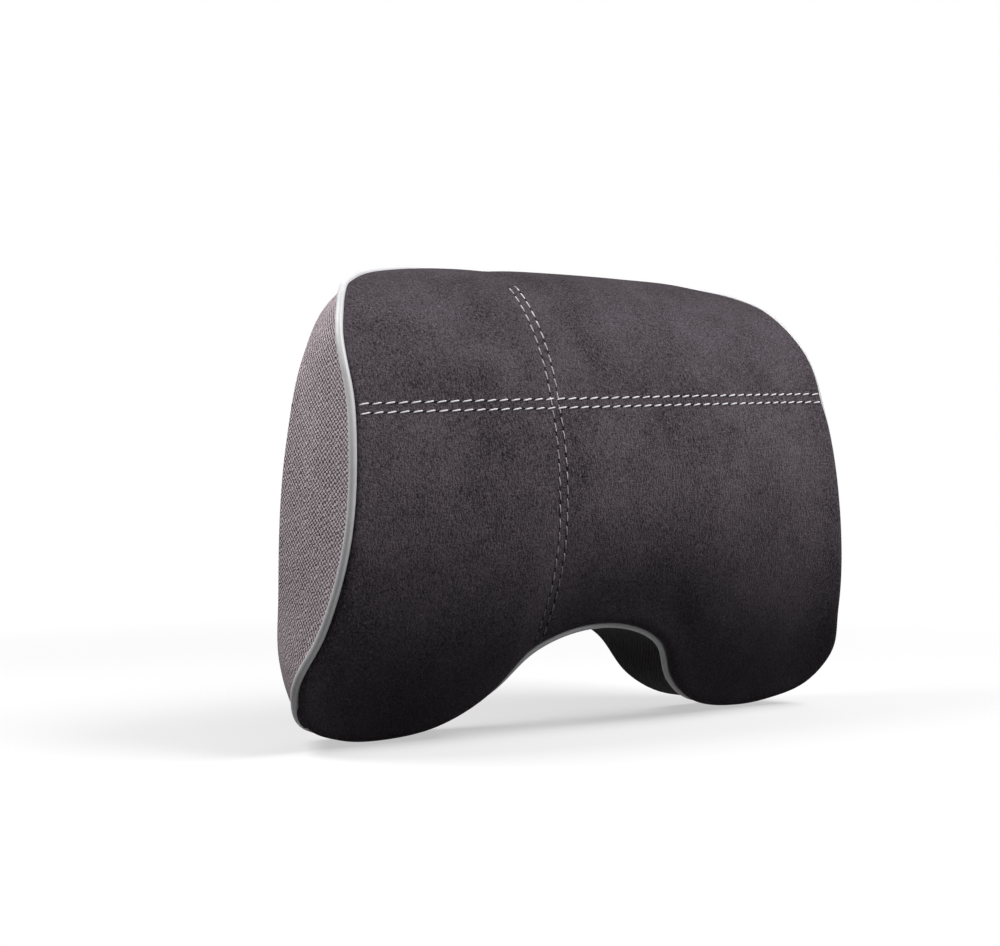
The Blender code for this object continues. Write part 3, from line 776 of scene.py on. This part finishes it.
# Decorative topstitching
# Two double rows of thick pale thread that cross left of the middle. Each stitch lies
# at a slant between two needle holes, and the upright rows sink deeper in the nap.
STITCH_PITCH = 5.9 * MM
STITCH_LENGTH = 4.6 * MM
THREAD_RADIUS = 0.42 * MM
STITCH_SLANT = 0.16
STITCH_RISE = 0.3 * MM
SUNKEN_RADIUS = 0.28 * MM
SUNKEN_BY = 0.08 * MM
HOLE_RADIUS = 0.5 * MM


def make_thread(bm):
    """A short straight thread along Z from -0.5 to 0.5, one unit thick, to be bent in copies."""
    made = bmesh.ops.create_cone(
        bm, cap_ends=True, segments=6, radius1=1, radius2=1, depth=1
    )
    verts = made["verts"]
    long_edges = [
        edge
        for edge in {edge for vert in verts for edge in vert.link_edges}
        if abs(edge.verts[0].co.z - edge.verts[1].co.z) > 0.5
    ]
    bmesh.ops.subdivide_edges(bm, edges=long_edges, cuts=5)
    return [*bm.verts, *bm.edges, *bm.faces]


def copy_of(bm, master):
    made = bmesh.ops.duplicate(bm, geom=master)["geom"]
    return [item for item in made if isinstance(item, bmesh.types.BMVert)]


def drop_master(bm, master):
    bmesh.ops.delete(bm, geom=[item for item in master if isinstance(item, bmesh.types.BMVert)])


def on_face(face_tree, x, z, side=-1):
    """The point and normal of a surface, met along Y from in front (-1) or behind (1)."""
    start = Vector((x, side * 0.3, z))
    point, normal, _, _ = face_tree.ray_cast(start, Vector((0, -side, 0)))
    return point, normal


def trace_row(face_tree, flat_points, side=-1):
    """Points, normals and lengths of a line drawn on a surface."""
    found = [on_face(face_tree, x, z, side) for x, z in flat_points]
    found = [pair for pair in found if pair[0] is not None]
    points = np.array([point for point, _ in found])
    normals = np.array([normal for _, normal in found])
    steps = np.linalg.norm(np.diff(points, axis=0), axis=1)
    return points, normals, np.concatenate([[0], steps.cumsum()])


def sample_row(row, length):
    points, normals, lengths = row
    point = Vector([np.interp(length, lengths, points[:, axis]) for axis in range(3)])
    normal = Vector([np.interp(length, lengths, normals[:, axis]) for axis in range(3)])
    return point, normal.normalized()


def sew_row(bm, master, row, pitch, length, radius, slant=0.0, rise=STITCH_RISE, sink=0.0):
    """Lays one bent copy of the master thread for each stitch of a row. Gives the needle holes."""
    holes = []
    count = int((row[2][-1] - length) / pitch) + 1
    start = (row[2][-1] - (count - 1) * pitch) / 2
    for index in range(count):
        middle = start + index * pitch
        ends = [sample_row(row, middle + side * length / 2) for side in (-1, 1)]
        along = (ends[1][0] - ends[0][0]).normalized()
        holes += [(point, normal, along) for point, normal in ends]
        for vert in copy_of(bm, master):
            share = vert.co.z
            point, normal = sample_row(row, middle + share * length)
            side = normal.cross(along).normalized()
            arch = 1 - (2 * share) ** 4
            taper = radius * (1 - 0.45 * (2 * share) ** 6)
            vert.co = (
                point
                + normal * (arch * rise - 0.35 * radius - sink + vert.co.y * taper)
                + side * (vert.co.x * taper + slant * share * length)
            )
    return holes


def line(start, end, count=160):
    return [tuple(Vector(start).lerp(Vector(end), t)) for t in np.linspace(0, 1, count)]


thread_finish, shade, shader = new_finish(
    "pale sewing thread", {"Roughness": 0.6, "Sheen Weight": 0.2, "Specular IOR Level": 0.3}
)
place = shade.node("ShaderNodeTexCoord", output="Object")
twist = speckle(shade, place, (1900, 1900, 1900), 1.0)
tint(shader, twist, (0.70, 0.67, 0.69), (0.98, 0.95, 0.97))
raise_grain(shade, shader, twist, 0.1 * MM)

sunken_finish, shade, shader = new_finish(
    "thread sunk in the nap, painted shade low down", {"Roughness": 0.8, "Sheen Weight": 0.2, "Specular IOR Level": 0.2}
)
place = shade.node("ShaderNodeTexCoord", output="Object")
buried = speckle(shade, place, (420, 420, 420), 3.0, 0.7).ramp((0.35, 0.0), (0.65, 1.0))
# Painted shade: the upright rows' thread is darkened towards the bottom by height, where the front
# turns down away from the light.
height = shade.node("ShaderNodeSeparateXYZ", (), {0: place}, output=2)
painted_shade_low_down = (height / 0.1 + 1.3).ramp((0.1, 0.25), (0.7, 1.0))
tone = (0.25 + buried * 0.75) * painted_shade_low_down
tint(shader, tone, (0.03, 0.026, 0.03), (0.95, 0.90, 0.93))
raise_grain(shade, shader, buried, 0.1 * MM)

# Painted shade: near-black discs at each needle hole stand for the shade inside the holes.
needle_hole_shade_finish, shade, shader = new_finish(
    "painted shade of a needle hole", {"Roughness": 1.0, "Specular IOR Level": 0.0}
)
place = shade.node("ShaderNodeTexCoord", output="Object")
hole_shade_tone = speckle(shade, place, (1500, 1500, 1500), 1.0)
tint(shader, hole_shade_tone, (0.006, 0.005, 0.006), (0.02, 0.017, 0.02))

UPRIGHT_ROW_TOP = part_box("front_panel")[1].z - 9 * MM
UPRIGHT_ROW_FOOT = -131 * MM

bm = bmesh.new()
master = make_thread(bm)
holes = []
for offset in (-ROW_SPACING / 2, ROW_SPACING / 2):
    level_line = [(x, level_row_z(x) + offset) for x in np.linspace(*SUEDE_ENDS, 200)]
    row = trace_row(front_face, level_line)
    holes += sew_row(bm, master, row, STITCH_PITCH, STITCH_LENGTH, THREAD_RADIUS, STITCH_SLANT)
drop_master(bm, master)
place_piece("level_topstitching", bm, thread_finish, "suede")

bm = bmesh.new()
master = make_thread(bm)
for offset in (-ROW_SPACING / 2, ROW_SPACING / 2):
    x = UPRIGHT_ROW_X + offset
    row = trace_row(front_face, line((x, UPRIGHT_ROW_TOP), (x, UPRIGHT_ROW_FOOT)))
    holes += sew_row(
        bm, master, row, STITCH_PITCH, STITCH_LENGTH, SUNKEN_RADIUS, 0.08, sink=SUNKEN_BY
    )
drop_master(bm, master)
place_piece("upright_topstitching", bm, sunken_finish, "suede")

# Each needle hole's shade is painted on a small flat disc laid just over the suede.
bm = bmesh.new()
for point, normal, along in holes:
    made = bmesh.ops.create_circle(bm, cap_ends=True, segments=8, radius=1)
    side = normal.cross(along).normalized()
    for vert in made["verts"]:
        flat = along * vert.co.x * 1.3 + side * vert.co.y
        vert.co = point + normal * 0.05 * MM + flat * HOLE_RADIUS
place_piece("front_needle_holes", bm, needle_hole_shade_finish, "suede")


# Side panels
# Two curved gussets of two-tone birdseye knit, a little puffed out by the foam, sewn to
# the front in the piped seam and to the back in a plain one.
KNIT_WALE = 2.7 * MM
KNIT_COURSE = 2.2 * MM


def knit_finish(name, dark, light):
    """Birdseye knit: dark pits between pale crossing threads, in a UV map in metres."""
    material, shade, shader = new_finish(
        name, {"Roughness": 0.85, "Specular IOR Level": 0.06, "Sheen Weight": 0.05}
    )
    cloth = shade.node("ShaderNodeUVMap", {"uv_map": "cloth"})
    wander = speckle(shade, cloth, (260, 260, 260), 2.0)
    wale = shade.node("ShaderNodeSeparateXYZ", (), {0: cloth}, output=0)
    course = shade.node("ShaderNodeSeparateXYZ", (), {0: cloth}, output=1)
    across = wale / KNIT_WALE + wander * 1.3
    up = course / KNIT_COURSE + wander * 1.3
    eyes = across.wave() * up.wave()
    fibre = speckle(shade, cloth, (1300, 1300, 1300), 3.0, 0.7).ramp((0.3, 0.0), (0.7, 1.0))
    worn = speckle(shade, cloth, (45, 45, 45), 3.0).ramp((0.3, 0.0), (0.7, 1.0))
    body = (0.5 - eyes * 0.6).ramp((0.25, 0.0), (0.75, 1.0))
    tone = body * 0.68 + fibre * 0.5 + worn * 0.12 - 0.15
    tint(shader, tone, dark, light)
    raise_grain(shade, shader, body + fibre * 0.4, 0.35 * MM)
    return material


knit = knit_finish("birdseye knit", (0.004, 0.003, 0.004), (0.80, 0.69, 0.73))
for region, node in ((b"left", "gusset_left"), (b"right", "gusset_right")):
    bm = cut_panel(region)
    lay_pattern(bm, lambda point: (point.y, point.z))
    place_panel(f"knit_{node}", bm, knit, "knit", node)


# Bottom band
# A strip of the same knit, coloured near black all along as painted shade for the deep shadow in the
# neck notch.
# It runs under both lobes and up through the neck notch.
notch_shade_knit = knit_finish("birdseye knit in painted shade", (0.004, 0.004, 0.004), (0.075, 0.068, 0.074))
bm = cut_panel(b"bottom")
middle_line = np.array([tuple(form_point(t, 1, 0.5)) for t in np.linspace(-1, 1, 200)])
strides = np.linalg.norm(np.diff(middle_line, axis=0), axis=1)
walked = np.concatenate([[0], strides.cumsum()])
lay_pattern(bm, lambda point: (np.interp(point.x, middle_line[:, 0], walked), point.y))
place_panel("knit_bottom_band", bm, notch_shade_knit, "knit", "bottom_band")


# Back panels
# The flat back in the pale knit, in an upper and a lower piece. Their facing edges are
# hemmed along the zip and topstitched, and the upper one folds over the top to the piping.
# Dark overlock thread closes its two short seams with the side panels.
ZIP_HEIGHT = 128 * MM
ZIP_SLOT = 11 * MM
HEM_LINES = (0.3 * MM, 0.6 * MM, 0.9 * MM, 1.2 * MM)
HEM_PITCH = 3.4 * MM
HEM_STITCH = 2.5 * MM
HEM_THREAD = 0.22 * MM
HEM_RISE = 0.15 * MM
HEM_MARGIN = 2.6 * MM
CORNER_THREAD = 0.68 * MM
CORNER_SINK = 0.62 * MM


def hem_at(bm, edge_z, side):
    """Trims a back panel at a level, on the given side, and rolls the cut edge under."""
    for offset in (0, *HEM_LINES):
        bmesh.ops.bisect_plane(
            bm,
            geom=[*bm.verts, *bm.edges, *bm.faces],
            plane_co=(0, 0, edge_z + side * offset),
            plane_no=(0, 0, -side),
            clear_outer=offset == 0,
        )
    for vert in bm.verts:
        vert.co.y -= turned_in(max(0, side * (vert.co.z - edge_z)))
    bm.normal_update()


dark_thread, shade, shader = new_finish(
    "dark sewing thread", {"Roughness": 0.55, "Specular IOR Level": 0.4}
)
place = shade.node("ShaderNodeTexCoord", output="Object")
twist = speckle(shade, place, (1900, 1900, 1900), 1.0)
tint(shader, twist, (0.02, 0.018, 0.02), (0.09, 0.08, 0.09))
raise_grain(shade, shader, twist, 0.1 * MM)

stitches = bmesh.new()
master = make_thread(stitches)
for node, side in (("back_panel_upper", 1), ("back_panel_lower", -1)):
    bm = cut_panel(b"back")
    hem_at(bm, level(ZIP_HEIGHT) + side * ZIP_SLOT / 2, side)
    lay_pattern(bm, lambda point: (point.x, point.z - point.y))
    face_tree = BVHTree.FromBMesh(bm)
    z = level(ZIP_HEIGHT) + side * (ZIP_SLOT / 2 + HEM_MARGIN)
    reach = back_half_width(ZIP_HEIGHT + side * ZIP_SLOT) - 3 * MM
    row = trace_row(face_tree, line((-reach, z), (reach, z)), side=1)
    sew_row(stitches, master, row, HEM_PITCH, HEM_STITCH, HEM_THREAD, rise=HEM_RISE)
    place_panel(f"knit_{node}", bm, knit, "knit", node)
for side in (-1, 1):
    seam = [form_point(side, 0, t) for t in np.linspace(0.04, 0.96, 12)]
    along = (seam[-1] - seam[0]).normalized()
    over_top = form_point(side * 0.94, 0, 0.5) - form_point(side, 0, 0.5)
    down_side = form_point(side, 0.04, 0.5) - form_point(side, 0, 0.5)
    up = along.cross(over_top).normalized() + down_side.cross(along).normalized()
    up *= 1 if up.z > 0 else -1
    reaches = [(point - seam[0]).length for point in seam]
    row = np.array(seam), np.array([up.normalized()] * len(seam)), np.array(reaches)
    whole = reaches[-1]
    sew_row(stitches, master, row, whole, whole, CORNER_THREAD, rise=0, sink=CORNER_SINK)
drop_master(stitches, master)
place_piece("hem_topstitching", stitches, dark_thread, "knit")


# Piping
# A cord of about 3 mm in a bias strip of silver-grey vinyl, whose flange is caught in the
# front seam all the way round.
PIPING_RADIUS = 1.75 * MM
PIPING_OUT = 0.6 * MM
PIPING_BACK = 1.3 * MM
FLANGE_DEPTH = 3.2 * MM
PIPING_STATIONS = SEAM_STATIONS // SEAM_SHARE
PIPING_SIDES = 20


vinyl, shade, shader = new_finish(
    "silver-grey vinyl",
    {"Roughness": 0.35, "Specular IOR Level": 0.5, "Coat Weight": 0.15, "Coat Roughness": 0.25},
)
place = shade.node("ShaderNodeTexCoord", output="Object")
pores = speckle(shade, place, (1700, 1700, 1700), 2.0)
scuffs = speckle(shade, place, (60, 60, 60), 3.0, 0.6)
worn = scuffs * 0.7 + pores * 0.4 - 0.05
tint(shader, worn, (0.40, 0.40, 0.415), (0.76, 0.76, 0.775))
shade.feed(shader.inputs["Roughness"], 0.3 + scuffs * 0.25)
raise_grain(shade, shader, pores + scuffs * 0.5, 0.12 * MM)

points = seam_points[::SEAM_SHARE]
fronts, sides = front_ways[::SEAM_SHARE], side_ways[::SEAM_SHARE]
ways_out = unit_rows(fronts + sides)
points = points + sides * PIPING_OUT - fronts * PIPING_BACK
sideways = unit_rows(np.cross(np.roll(points, -1, 0) - np.roll(points, 1, 0), ways_out))

bm = bmesh.new()
ring_radius = 10 * PIPING_RADIUS
bmesh.ops.create_circle(bm, segments=PIPING_SIDES, radius=PIPING_RADIUS)
bmesh.ops.rotate(bm, verts=bm.verts, matrix=Matrix.Rotation(pi / 2, 3, "X"))
bmesh.ops.translate(bm, vec=(ring_radius, 0, 0), verts=bm.verts)
bmesh.ops.spin(
    bm,
    geom=[*bm.verts, *bm.edges],
    axis=(0, 0, 1),
    cent=(0, 0, 0),
    angle=2 * pi,
    steps=PIPING_STATIONS,
    use_merge=True,
)
for vert in bm.verts:
    station = round(atan2(vert.co.y, vert.co.x) / (2 * pi) * PIPING_STATIONS) % PIPING_STATIONS
    out = hypot(vert.co.x, vert.co.y) - ring_radius
    over = vert.co.z
    tuck = max(0, -out / PIPING_RADIUS) ** 2
    out -= tuck * (FLANGE_DEPTH - PIPING_RADIUS)
    over *= 1 - 0.7 * tuck
    vert.co = points[station] + ways_out[station] * out + sideways[station] * over
bmesh.ops.recalc_face_normals(bm, faces=bm.faces)
place_piece("vinyl_piping", bm, vinyl, "piping", "piping")


# Zip tapes
# Two woven polyester tapes behind the slot across the back, with their corded edges
# meeting under the coils and their outer halves sewn behind the back panels.
TAPE_WIDTH = 14 * MM
TAPE_THICKNESS = 0.6 * MM
TAPE_BACK = -1.8 * MM
TAPE_ENDS = 130 * MM
ZIP_MIDDLE = 0.15 * MM


def lay_ribbon(path, width, middle_z, lengthwise=1.5 * MM, widthwise=2 * MM):
    """A flat ribbon on edge as a fine sheet along (x, y) points, with a UV map in metres."""
    steps = np.linalg.norm(np.diff(np.array(path), axis=0), axis=1)
    lengths = np.concatenate([[0], steps.cumsum()])
    bm = bmesh.new()
    bmesh.ops.create_grid(
        bm,
        x_segments=max(2, round(lengths[-1] / lengthwise)),
        y_segments=max(2, round(width / widthwise)),
        size=0.5,
    )
    lay_pattern(bm, lambda point: ((point.x + 0.5) * lengths[-1], point.y * width))
    for vert in bm.verts:
        length = (vert.co.x + 0.5) * lengths[-1]
        x = np.interp(length, lengths, [x for x, _ in path])
        y = np.interp(length, lengths, [y for _, y in path])
        vert.co = (x, y, middle_z + vert.co.y * width)
    bmesh.ops.recalc_face_normals(bm, faces=bm.faces)
    bm.normal_update()
    if sum(face.normal.y for face in bm.faces) < 0:
        bmesh.ops.reverse_faces(bm, faces=bm.faces)
    return bm


def give_body(piece, thickness, round_edge):
    """A ribbon's thickness, half to each side, and its soft edges."""
    wall = piece.modifiers.new("thickness", "SOLIDIFY")
    wall.thickness = thickness
    wall.offset = 0
    edges = piece.modifiers.new("soft edges", "BEVEL")
    edges.width = round_edge
    edges.segments = 2
    edges.limit_method = "ANGLE"
    edges.angle_limit = radians(50)


def woven_finish(name, dark, light, rib, weave, ribs_along, constants):
    """Narrow woven goods: ribs across or along the ribbon, crossed by a finer weave."""
    material, shade, shader = new_finish(name, constants)
    cloth = shade.node("ShaderNodeUVMap", {"uv_map": "cloth"})
    along = shade.node("ShaderNodeSeparateXYZ", (), {0: cloth}, output=0)
    across = shade.node("ShaderNodeSeparateXYZ", (), {0: cloth}, output=1)
    broad, fine = (across, along) if ribs_along else (along, across)
    ridge = (broad / rib).wave()
    step = broad.math("FLOOR", broad / rib + 0.5)
    pick = (fine / weave + step * 0.5).wave()
    fibre = speckle(shade, cloth, (2600, 2600, 2600), 1.0)
    relief = ridge * 0.35 + pick * 0.2 + fibre * 0.3
    tone = 0.5 + ridge * 0.22 + pick * 0.16 + (fibre - 0.5) * 0.7
    tint(shader, tone, dark, light)
    raise_grain(shade, shader, relief, 0.25 * MM)
    return material


tape_cloth = woven_finish(
    "woven zip tape",
    (0.010, 0.009, 0.010),
    (0.045, 0.040, 0.045),
    0.9 * MM,
    0.6 * MM,
    False,
    {"Roughness": 0.8, "Specular IOR Level": 0.25},
)
for node, side in (("zip_tape_upper", 1), ("zip_tape_lower", -1)):
    middle_y = TAPE_BACK - TAPE_THICKNESS / 2
    run = [(-TAPE_ENDS, middle_y), (TAPE_ENDS, middle_y)]
    width = TAPE_WIDTH - ZIP_MIDDLE
    middle_z = level(ZIP_HEIGHT) + side * (ZIP_MIDDLE + width / 2)
    tape = place_piece(
        f"woven_{node}", lay_ribbon(run, width, middle_z), tape_cloth, "zip_tape", node
    )
    give_body(tape, TAPE_THICKNESS, 0.2 * MM)


# Zip coils
# Nylon monofilament wound into two flattened spirals whose loops mesh down the middle,
# each sewn to its tape with a chain of stitches over the legs.
COIL_PITCH = 1.25 * MM
COIL_WIRE = 0.3 * MM
COIL_MIDDLE_Y = -0.5 * MM
COIL_BEND = 0.7 * MM
COIL_HEAD = 0.45 * MM
COIL_REACH = 2.95 * MM
COIL_ENDS = 123.4 * MM
COIL_SEAM = 2.1 * MM
COIL_STITCH = 2.3 * MM
COIL_THREAD = 0.16 * MM
COIL_THREAD_RISE = 0.1 * MM

nylon, shade, shader = new_finish(
    "nylon coil", {"Roughness": 0.35, "Specular IOR Level": 0.5}
)
place = shade.node("ShaderNodeTexCoord", output="Object")
dye = speckle(shade, place, (700, 700, 700), 2.0)
tint(shader, dye, (0.015, 0.014, 0.016), (0.05, 0.046, 0.05))
shade.feed(shader.inputs["Roughness"], 0.28 + dye * 0.2)
raise_grain(shade, shader, dye, 0.05 * MM)


def wind_loop(bm):
    """One loop of a coil, open towards +Z: half a ring for its head and two straight legs."""
    bmesh.ops.create_circle(bm, segments=6, radius=COIL_WIRE)
    bmesh.ops.translate(bm, vec=(0, COIL_BEND, 0), verts=bm.verts)
    start = list(bm.edges)
    made = bmesh.ops.spin(
        bm, geom=[*bm.verts, *bm.edges], axis=(1, 0, 0), cent=(0, 0, 0), angle=-pi, steps=5
    )
    end = [item for item in made["geom_last"] if isinstance(item, bmesh.types.BMEdge)]
    leg = COIL_REACH - COIL_BEND - COIL_WIRE + COIL_HEAD
    for rim in (start, end):
        made = bmesh.ops.extrude_edge_only(bm, edges=rim)
        tip = [item for item in made["geom"] if isinstance(item, bmesh.types.BMVert)]
        bmesh.ops.translate(bm, vec=(0, 0, leg), verts=tip)
    bmesh.ops.holes_fill(bm, edges=bm.edges)
    bmesh.ops.recalc_face_normals(bm, faces=bm.faces)
    return [*bm.verts, *bm.edges, *bm.faces]


for node, side in (("zip_coil_upper", 1), ("zip_coil_lower", -1)):
    bm = bmesh.new()
    master = wind_loop(bm)
    count = int(2 * COIL_ENDS / COIL_PITCH)
    for index in range(count):
        x = (index - (count - 1) / 2 + side / 4) * COIL_PITCH
        for vert in copy_of(bm, master):
            out = vert.co.z + COIL_BEND + COIL_WIRE - COIL_HEAD
            lean = 0.25 * COIL_PITCH * (vert.co.y / COIL_BEND)
            vert.co = (x + vert.co.x + side * lean, COIL_MIDDLE_Y + vert.co.y, out)
            vert.co.z = level(ZIP_HEIGHT) + side * out
    drop_master(bm, master)
    if side < 0:
        bmesh.ops.reverse_faces(bm, faces=bm.faces)
    place_piece(f"wound_{node}", bm, nylon, "zip_coil", node)

bm = bmesh.new()
master = make_thread(bm)
for side in (-1, 1):
    z = level(ZIP_HEIGHT) + side * COIL_SEAM
    y = COIL_MIDDLE_Y + COIL_BEND + COIL_WIRE
    row_points = np.array([(x, y, z) for x in (-COIL_ENDS, COIL_ENDS)])
    row = row_points, np.array([(0, 1, 0)] * 2), np.array([0, 2 * COIL_ENDS])
    sew_row(bm, master, row, 2 * COIL_PITCH, COIL_STITCH, COIL_THREAD, rise=COIL_THREAD_RISE)
drop_master(bm, master)
place_piece("coil_stitching", bm, dark_thread, "zip_tape")


# Zip stops
# Small U-shaped metal staples clamped over both coils at each end of the zip, to keep
# the slider on. They stay as the solids are.
gunmetal, shade, shader = new_finish(
    "gunmetal", {"Roughness": 0.35, "Metallic": 1.0, "Specular IOR Level": 0.5}
)
place = shade.node("ShaderNodeTexCoord", output="Object")
plating = speckle(shade, place, (500, 500, 500), 3.0, 0.6)
rubbed = speckle(shade, place, (160, 160, 160), 2.0)
tint(shader, plating, (0.10, 0.10, 0.11), (0.30, 0.30, 0.31))
shade.feed(shader.inputs["Roughness"], 0.22 + rubbed * 0.3)
raise_grain(shade, shader, plating, 0.04 * MM)

for node in ("zip_stop_left", "zip_stop_right"):
    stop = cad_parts[node]
    stop.data.materials.clear()
    stop.data.materials.append(gunmetal)


# Slider and pull
# A die-cast slider that rides over the coils, with a bail on its back, and a stamped pull
# with an eye that swings on the bail. Their edges are tumbled smooth.
def tumbled_copy(node, width):
    """A merged copy of a metal part's solid with its sharp edges rounded over."""
    bm = bmesh.new()
    bm.from_mesh(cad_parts[node].data)
    bmesh.ops.remove_doubles(bm, verts=bm.verts, dist=0.005 * MM)
    bmesh.ops.dissolve_limit(
        bm, angle_limit=radians(2), verts=bm.verts, edges=bm.edges, delimit={"NORMAL"}
    )
    bm.normal_update()
    sharp = [edge for edge in bm.edges if edge.calc_face_angle(0) > radians(25)]
    bmesh.ops.bevel(
        bm,
        geom=sharp,
        offset=width,
        segments=3,
        profile=0.5,
        affect="EDGES",
        material=-1,
        clamp_overlap=True,
    )
    return bm


bm = tumbled_copy("zip_slider", 0.25 * MM)
place_piece("cast_slider", bm, gunmetal, "zip_metal", "zip_slider", body="slider")
bm = tumbled_copy("zip_pull", 0.2 * MM)
place_piece("stamped_pull", bm, gunmetal, "zip_metal", "zip_pull", body="pull")


# Straps
# Two lengths of 38 mm ribbed elastic, caught in the side seams below the zip, that go
# round the headrest's posts and close on each other behind the pillow.
STRAP_WIDTH = 38 * MM
STRAP_HEIGHT = ZIP_HEIGHT - 9 * MM - STRAP_WIDTH / 2
STRAP_THICKNESS = 1.4 * MM
STRAP_GAP = 0.3 * MM
STRAP_LAP = 45 * MM
STRAP_REACH = 132.2 * MM
STRAP_RAMP = 16 * MM
STRAP_TURN = 24 * MM
STRAP_TUCK = 1.4 * MM
STRAP_DIVE = 1.3 * MM
PATCH_MARGIN = 4.5 * MM
PATCH_THICKNESS = 1.2 * MM
UNDER_Y = STRAP_GAP + STRAP_THICKNESS / 2
LOOP_Y = UNDER_Y + STRAP_THICKNESS / 2 + STRAP_GAP + PATCH_THICKNESS / 2
HOOK_Y = LOOP_Y + PATCH_THICKNESS + STRAP_GAP
OVER_Y = HOOK_Y + PATCH_THICKNESS / 2 + STRAP_GAP + STRAP_THICKNESS / 2

elastic = woven_finish(
    "ribbed elastic",
    (0.008, 0.008, 0.009),
    (0.040, 0.038, 0.042),
    1.3 * MM,
    0.8 * MM,
    True,
    {"Roughness": 0.75, "Specular IOR Level": 0.3, "Sheen Weight": 0.1},
)


def into_the_seam(bm, ends):
    """Lets a strap's sewn end follow the side seam and dive into it."""
    for vert in bm.verts:
        for side in ends:
            near = 1 - (STRAP_REACH - side * vert.co.x) / STRAP_TURN
            if near > 0:
                seam = back_half_width(vert.co.z + MOUNT_HEIGHT) - STRAP_TUCK
                vert.co.x += side * (seam - STRAP_REACH) * near**2
                vert.co.y -= STRAP_DIVE * max(0, (near - 0.9) / 0.1) ** 2
    bm.normal_update()


def sew_outline(bm, master, corners, y):
    """A row of stitches through the (x, z) corners, on a flat face that looks towards +Y."""
    for start, end in zip(corners, corners[1:]):
        row_points = np.array([(start[0], y, start[1]), (end[0], y, end[1])])
        length = float(np.linalg.norm(row_points[1] - row_points[0]))
        row = row_points, np.array([(0, 1, 0)] * 2), np.array([0, length])
        sew_row(bm, master, row, HEM_PITCH, HEM_STITCH, HEM_THREAD, rise=HEM_RISE)


bm = lay_ribbon([(-STRAP_REACH, UNDER_Y), (STRAP_LAP, UNDER_Y)], STRAP_WIDTH, level(STRAP_HEIGHT))
into_the_seam(bm, (-1,))
strap = place_piece("elastic_strap_left", bm, elastic, "webbing", "strap_left")
give_body(strap, STRAP_THICKNESS, 0.4 * MM)

ramp = [STRAP_LAP + STRAP_RAMP * (0.25 + t / 16) for t in range(17)]
rise = [OVER_Y + (UNDER_Y - OVER_Y) * sin(t * pi / 32) ** 2 for t in range(17)]
bm = lay_ribbon(
    [(-STRAP_LAP, OVER_Y), *zip(ramp, rise), (STRAP_REACH, UNDER_Y)],
    STRAP_WIDTH,
    level(STRAP_HEIGHT),
)
into_the_seam(bm, (1,))
strap = place_piece("elastic_strap_right", bm, elastic, "webbing", "strap_right")
give_body(strap, STRAP_THICKNESS, 0.4 * MM)

bm = bmesh.new()
master = make_thread(bm)
half_patch = 14.5 * MM
top_z, foot_z = level(STRAP_HEIGHT) + half_patch, level(STRAP_HEIGHT) - half_patch
near_x, far_x = PATCH_MARGIN - STRAP_LAP, STRAP_LAP - PATCH_MARGIN
face_y = OVER_Y + STRAP_THICKNESS / 2
frame_line = [(near_x, foot_z), (far_x, foot_z), (far_x, top_z), (near_x, top_z), (near_x, foot_z)]
sew_outline(bm, master, frame_line, face_y)
sew_outline(bm, master, [(near_x, foot_z), (far_x, top_z)], face_y)
sew_outline(bm, master, [(near_x, top_z), (far_x, foot_z)], face_y)
for side in (-1, 1):
    for inset in (9 * MM, 12 * MM):
        x = side * (STRAP_REACH - inset)
        down = [(x, foot_z - 2 * MM), (x, top_z + 2 * MM)]
        sew_outline(bm, master, down, UNDER_Y + STRAP_THICKNESS / 2)
drop_master(bm, master)
place_piece("strap_stitching", bm, dark_thread, "webbing")


# Hook and loop patches
# A strip of soft looped pile on the left strap and a strip of stiff nylon hooks on the
# right one, pressed together where the straps lap.
PATCH_WIDTH = STRAP_WIDTH - 6 * MM
PATCH_REACH = STRAP_LAP - 3 * MM


def pile_finish(name, dark, light, density, constants):
    """Pile of loops or hooks, so many to the metre."""
    material, shade, shader = new_finish(name, constants)
    cloth = shade.node("ShaderNodeUVMap", {"uv_map": "cloth"})
    tufts = shade.node("ShaderNodeTexVoronoi", (), {"Vector": cloth, "Scale": density})
    fluff = speckle(shade, cloth, (1800, 1800, 1800), 3.0)
    tone = 1.1 - tufts * 1.1 + (fluff - 0.5) * 0.8
    tint(shader, tone, dark, light)
    raise_grain(shade, shader, fluff - tufts, 0.5 * MM)
    return material


loop_pile = pile_finish(
    "looped pile", (0.006, 0.006, 0.006), (0.03, 0.03, 0.032), 900, {"Roughness": 0.95}
)
hook_pile = pile_finish(
    "nylon hooks", (0.006, 0.006, 0.006), (0.045, 0.045, 0.048), 620, {"Roughness": 0.5}
)
for name, node, y, pile in (
    ("loop_pile_patch", "strap_loop_patch", LOOP_Y, loop_pile),
    ("hook_pile_patch", "strap_hook_patch", HOOK_Y, hook_pile),
):
    bm = lay_ribbon([(-PATCH_REACH, y), (PATCH_REACH, y)], PATCH_WIDTH, level(STRAP_HEIGHT))
    patch = place_piece(name, bm, pile, "hook_and_loop", node)
    give_body(patch, PATCH_THICKNESS, 0.3 * MM)

form.free()
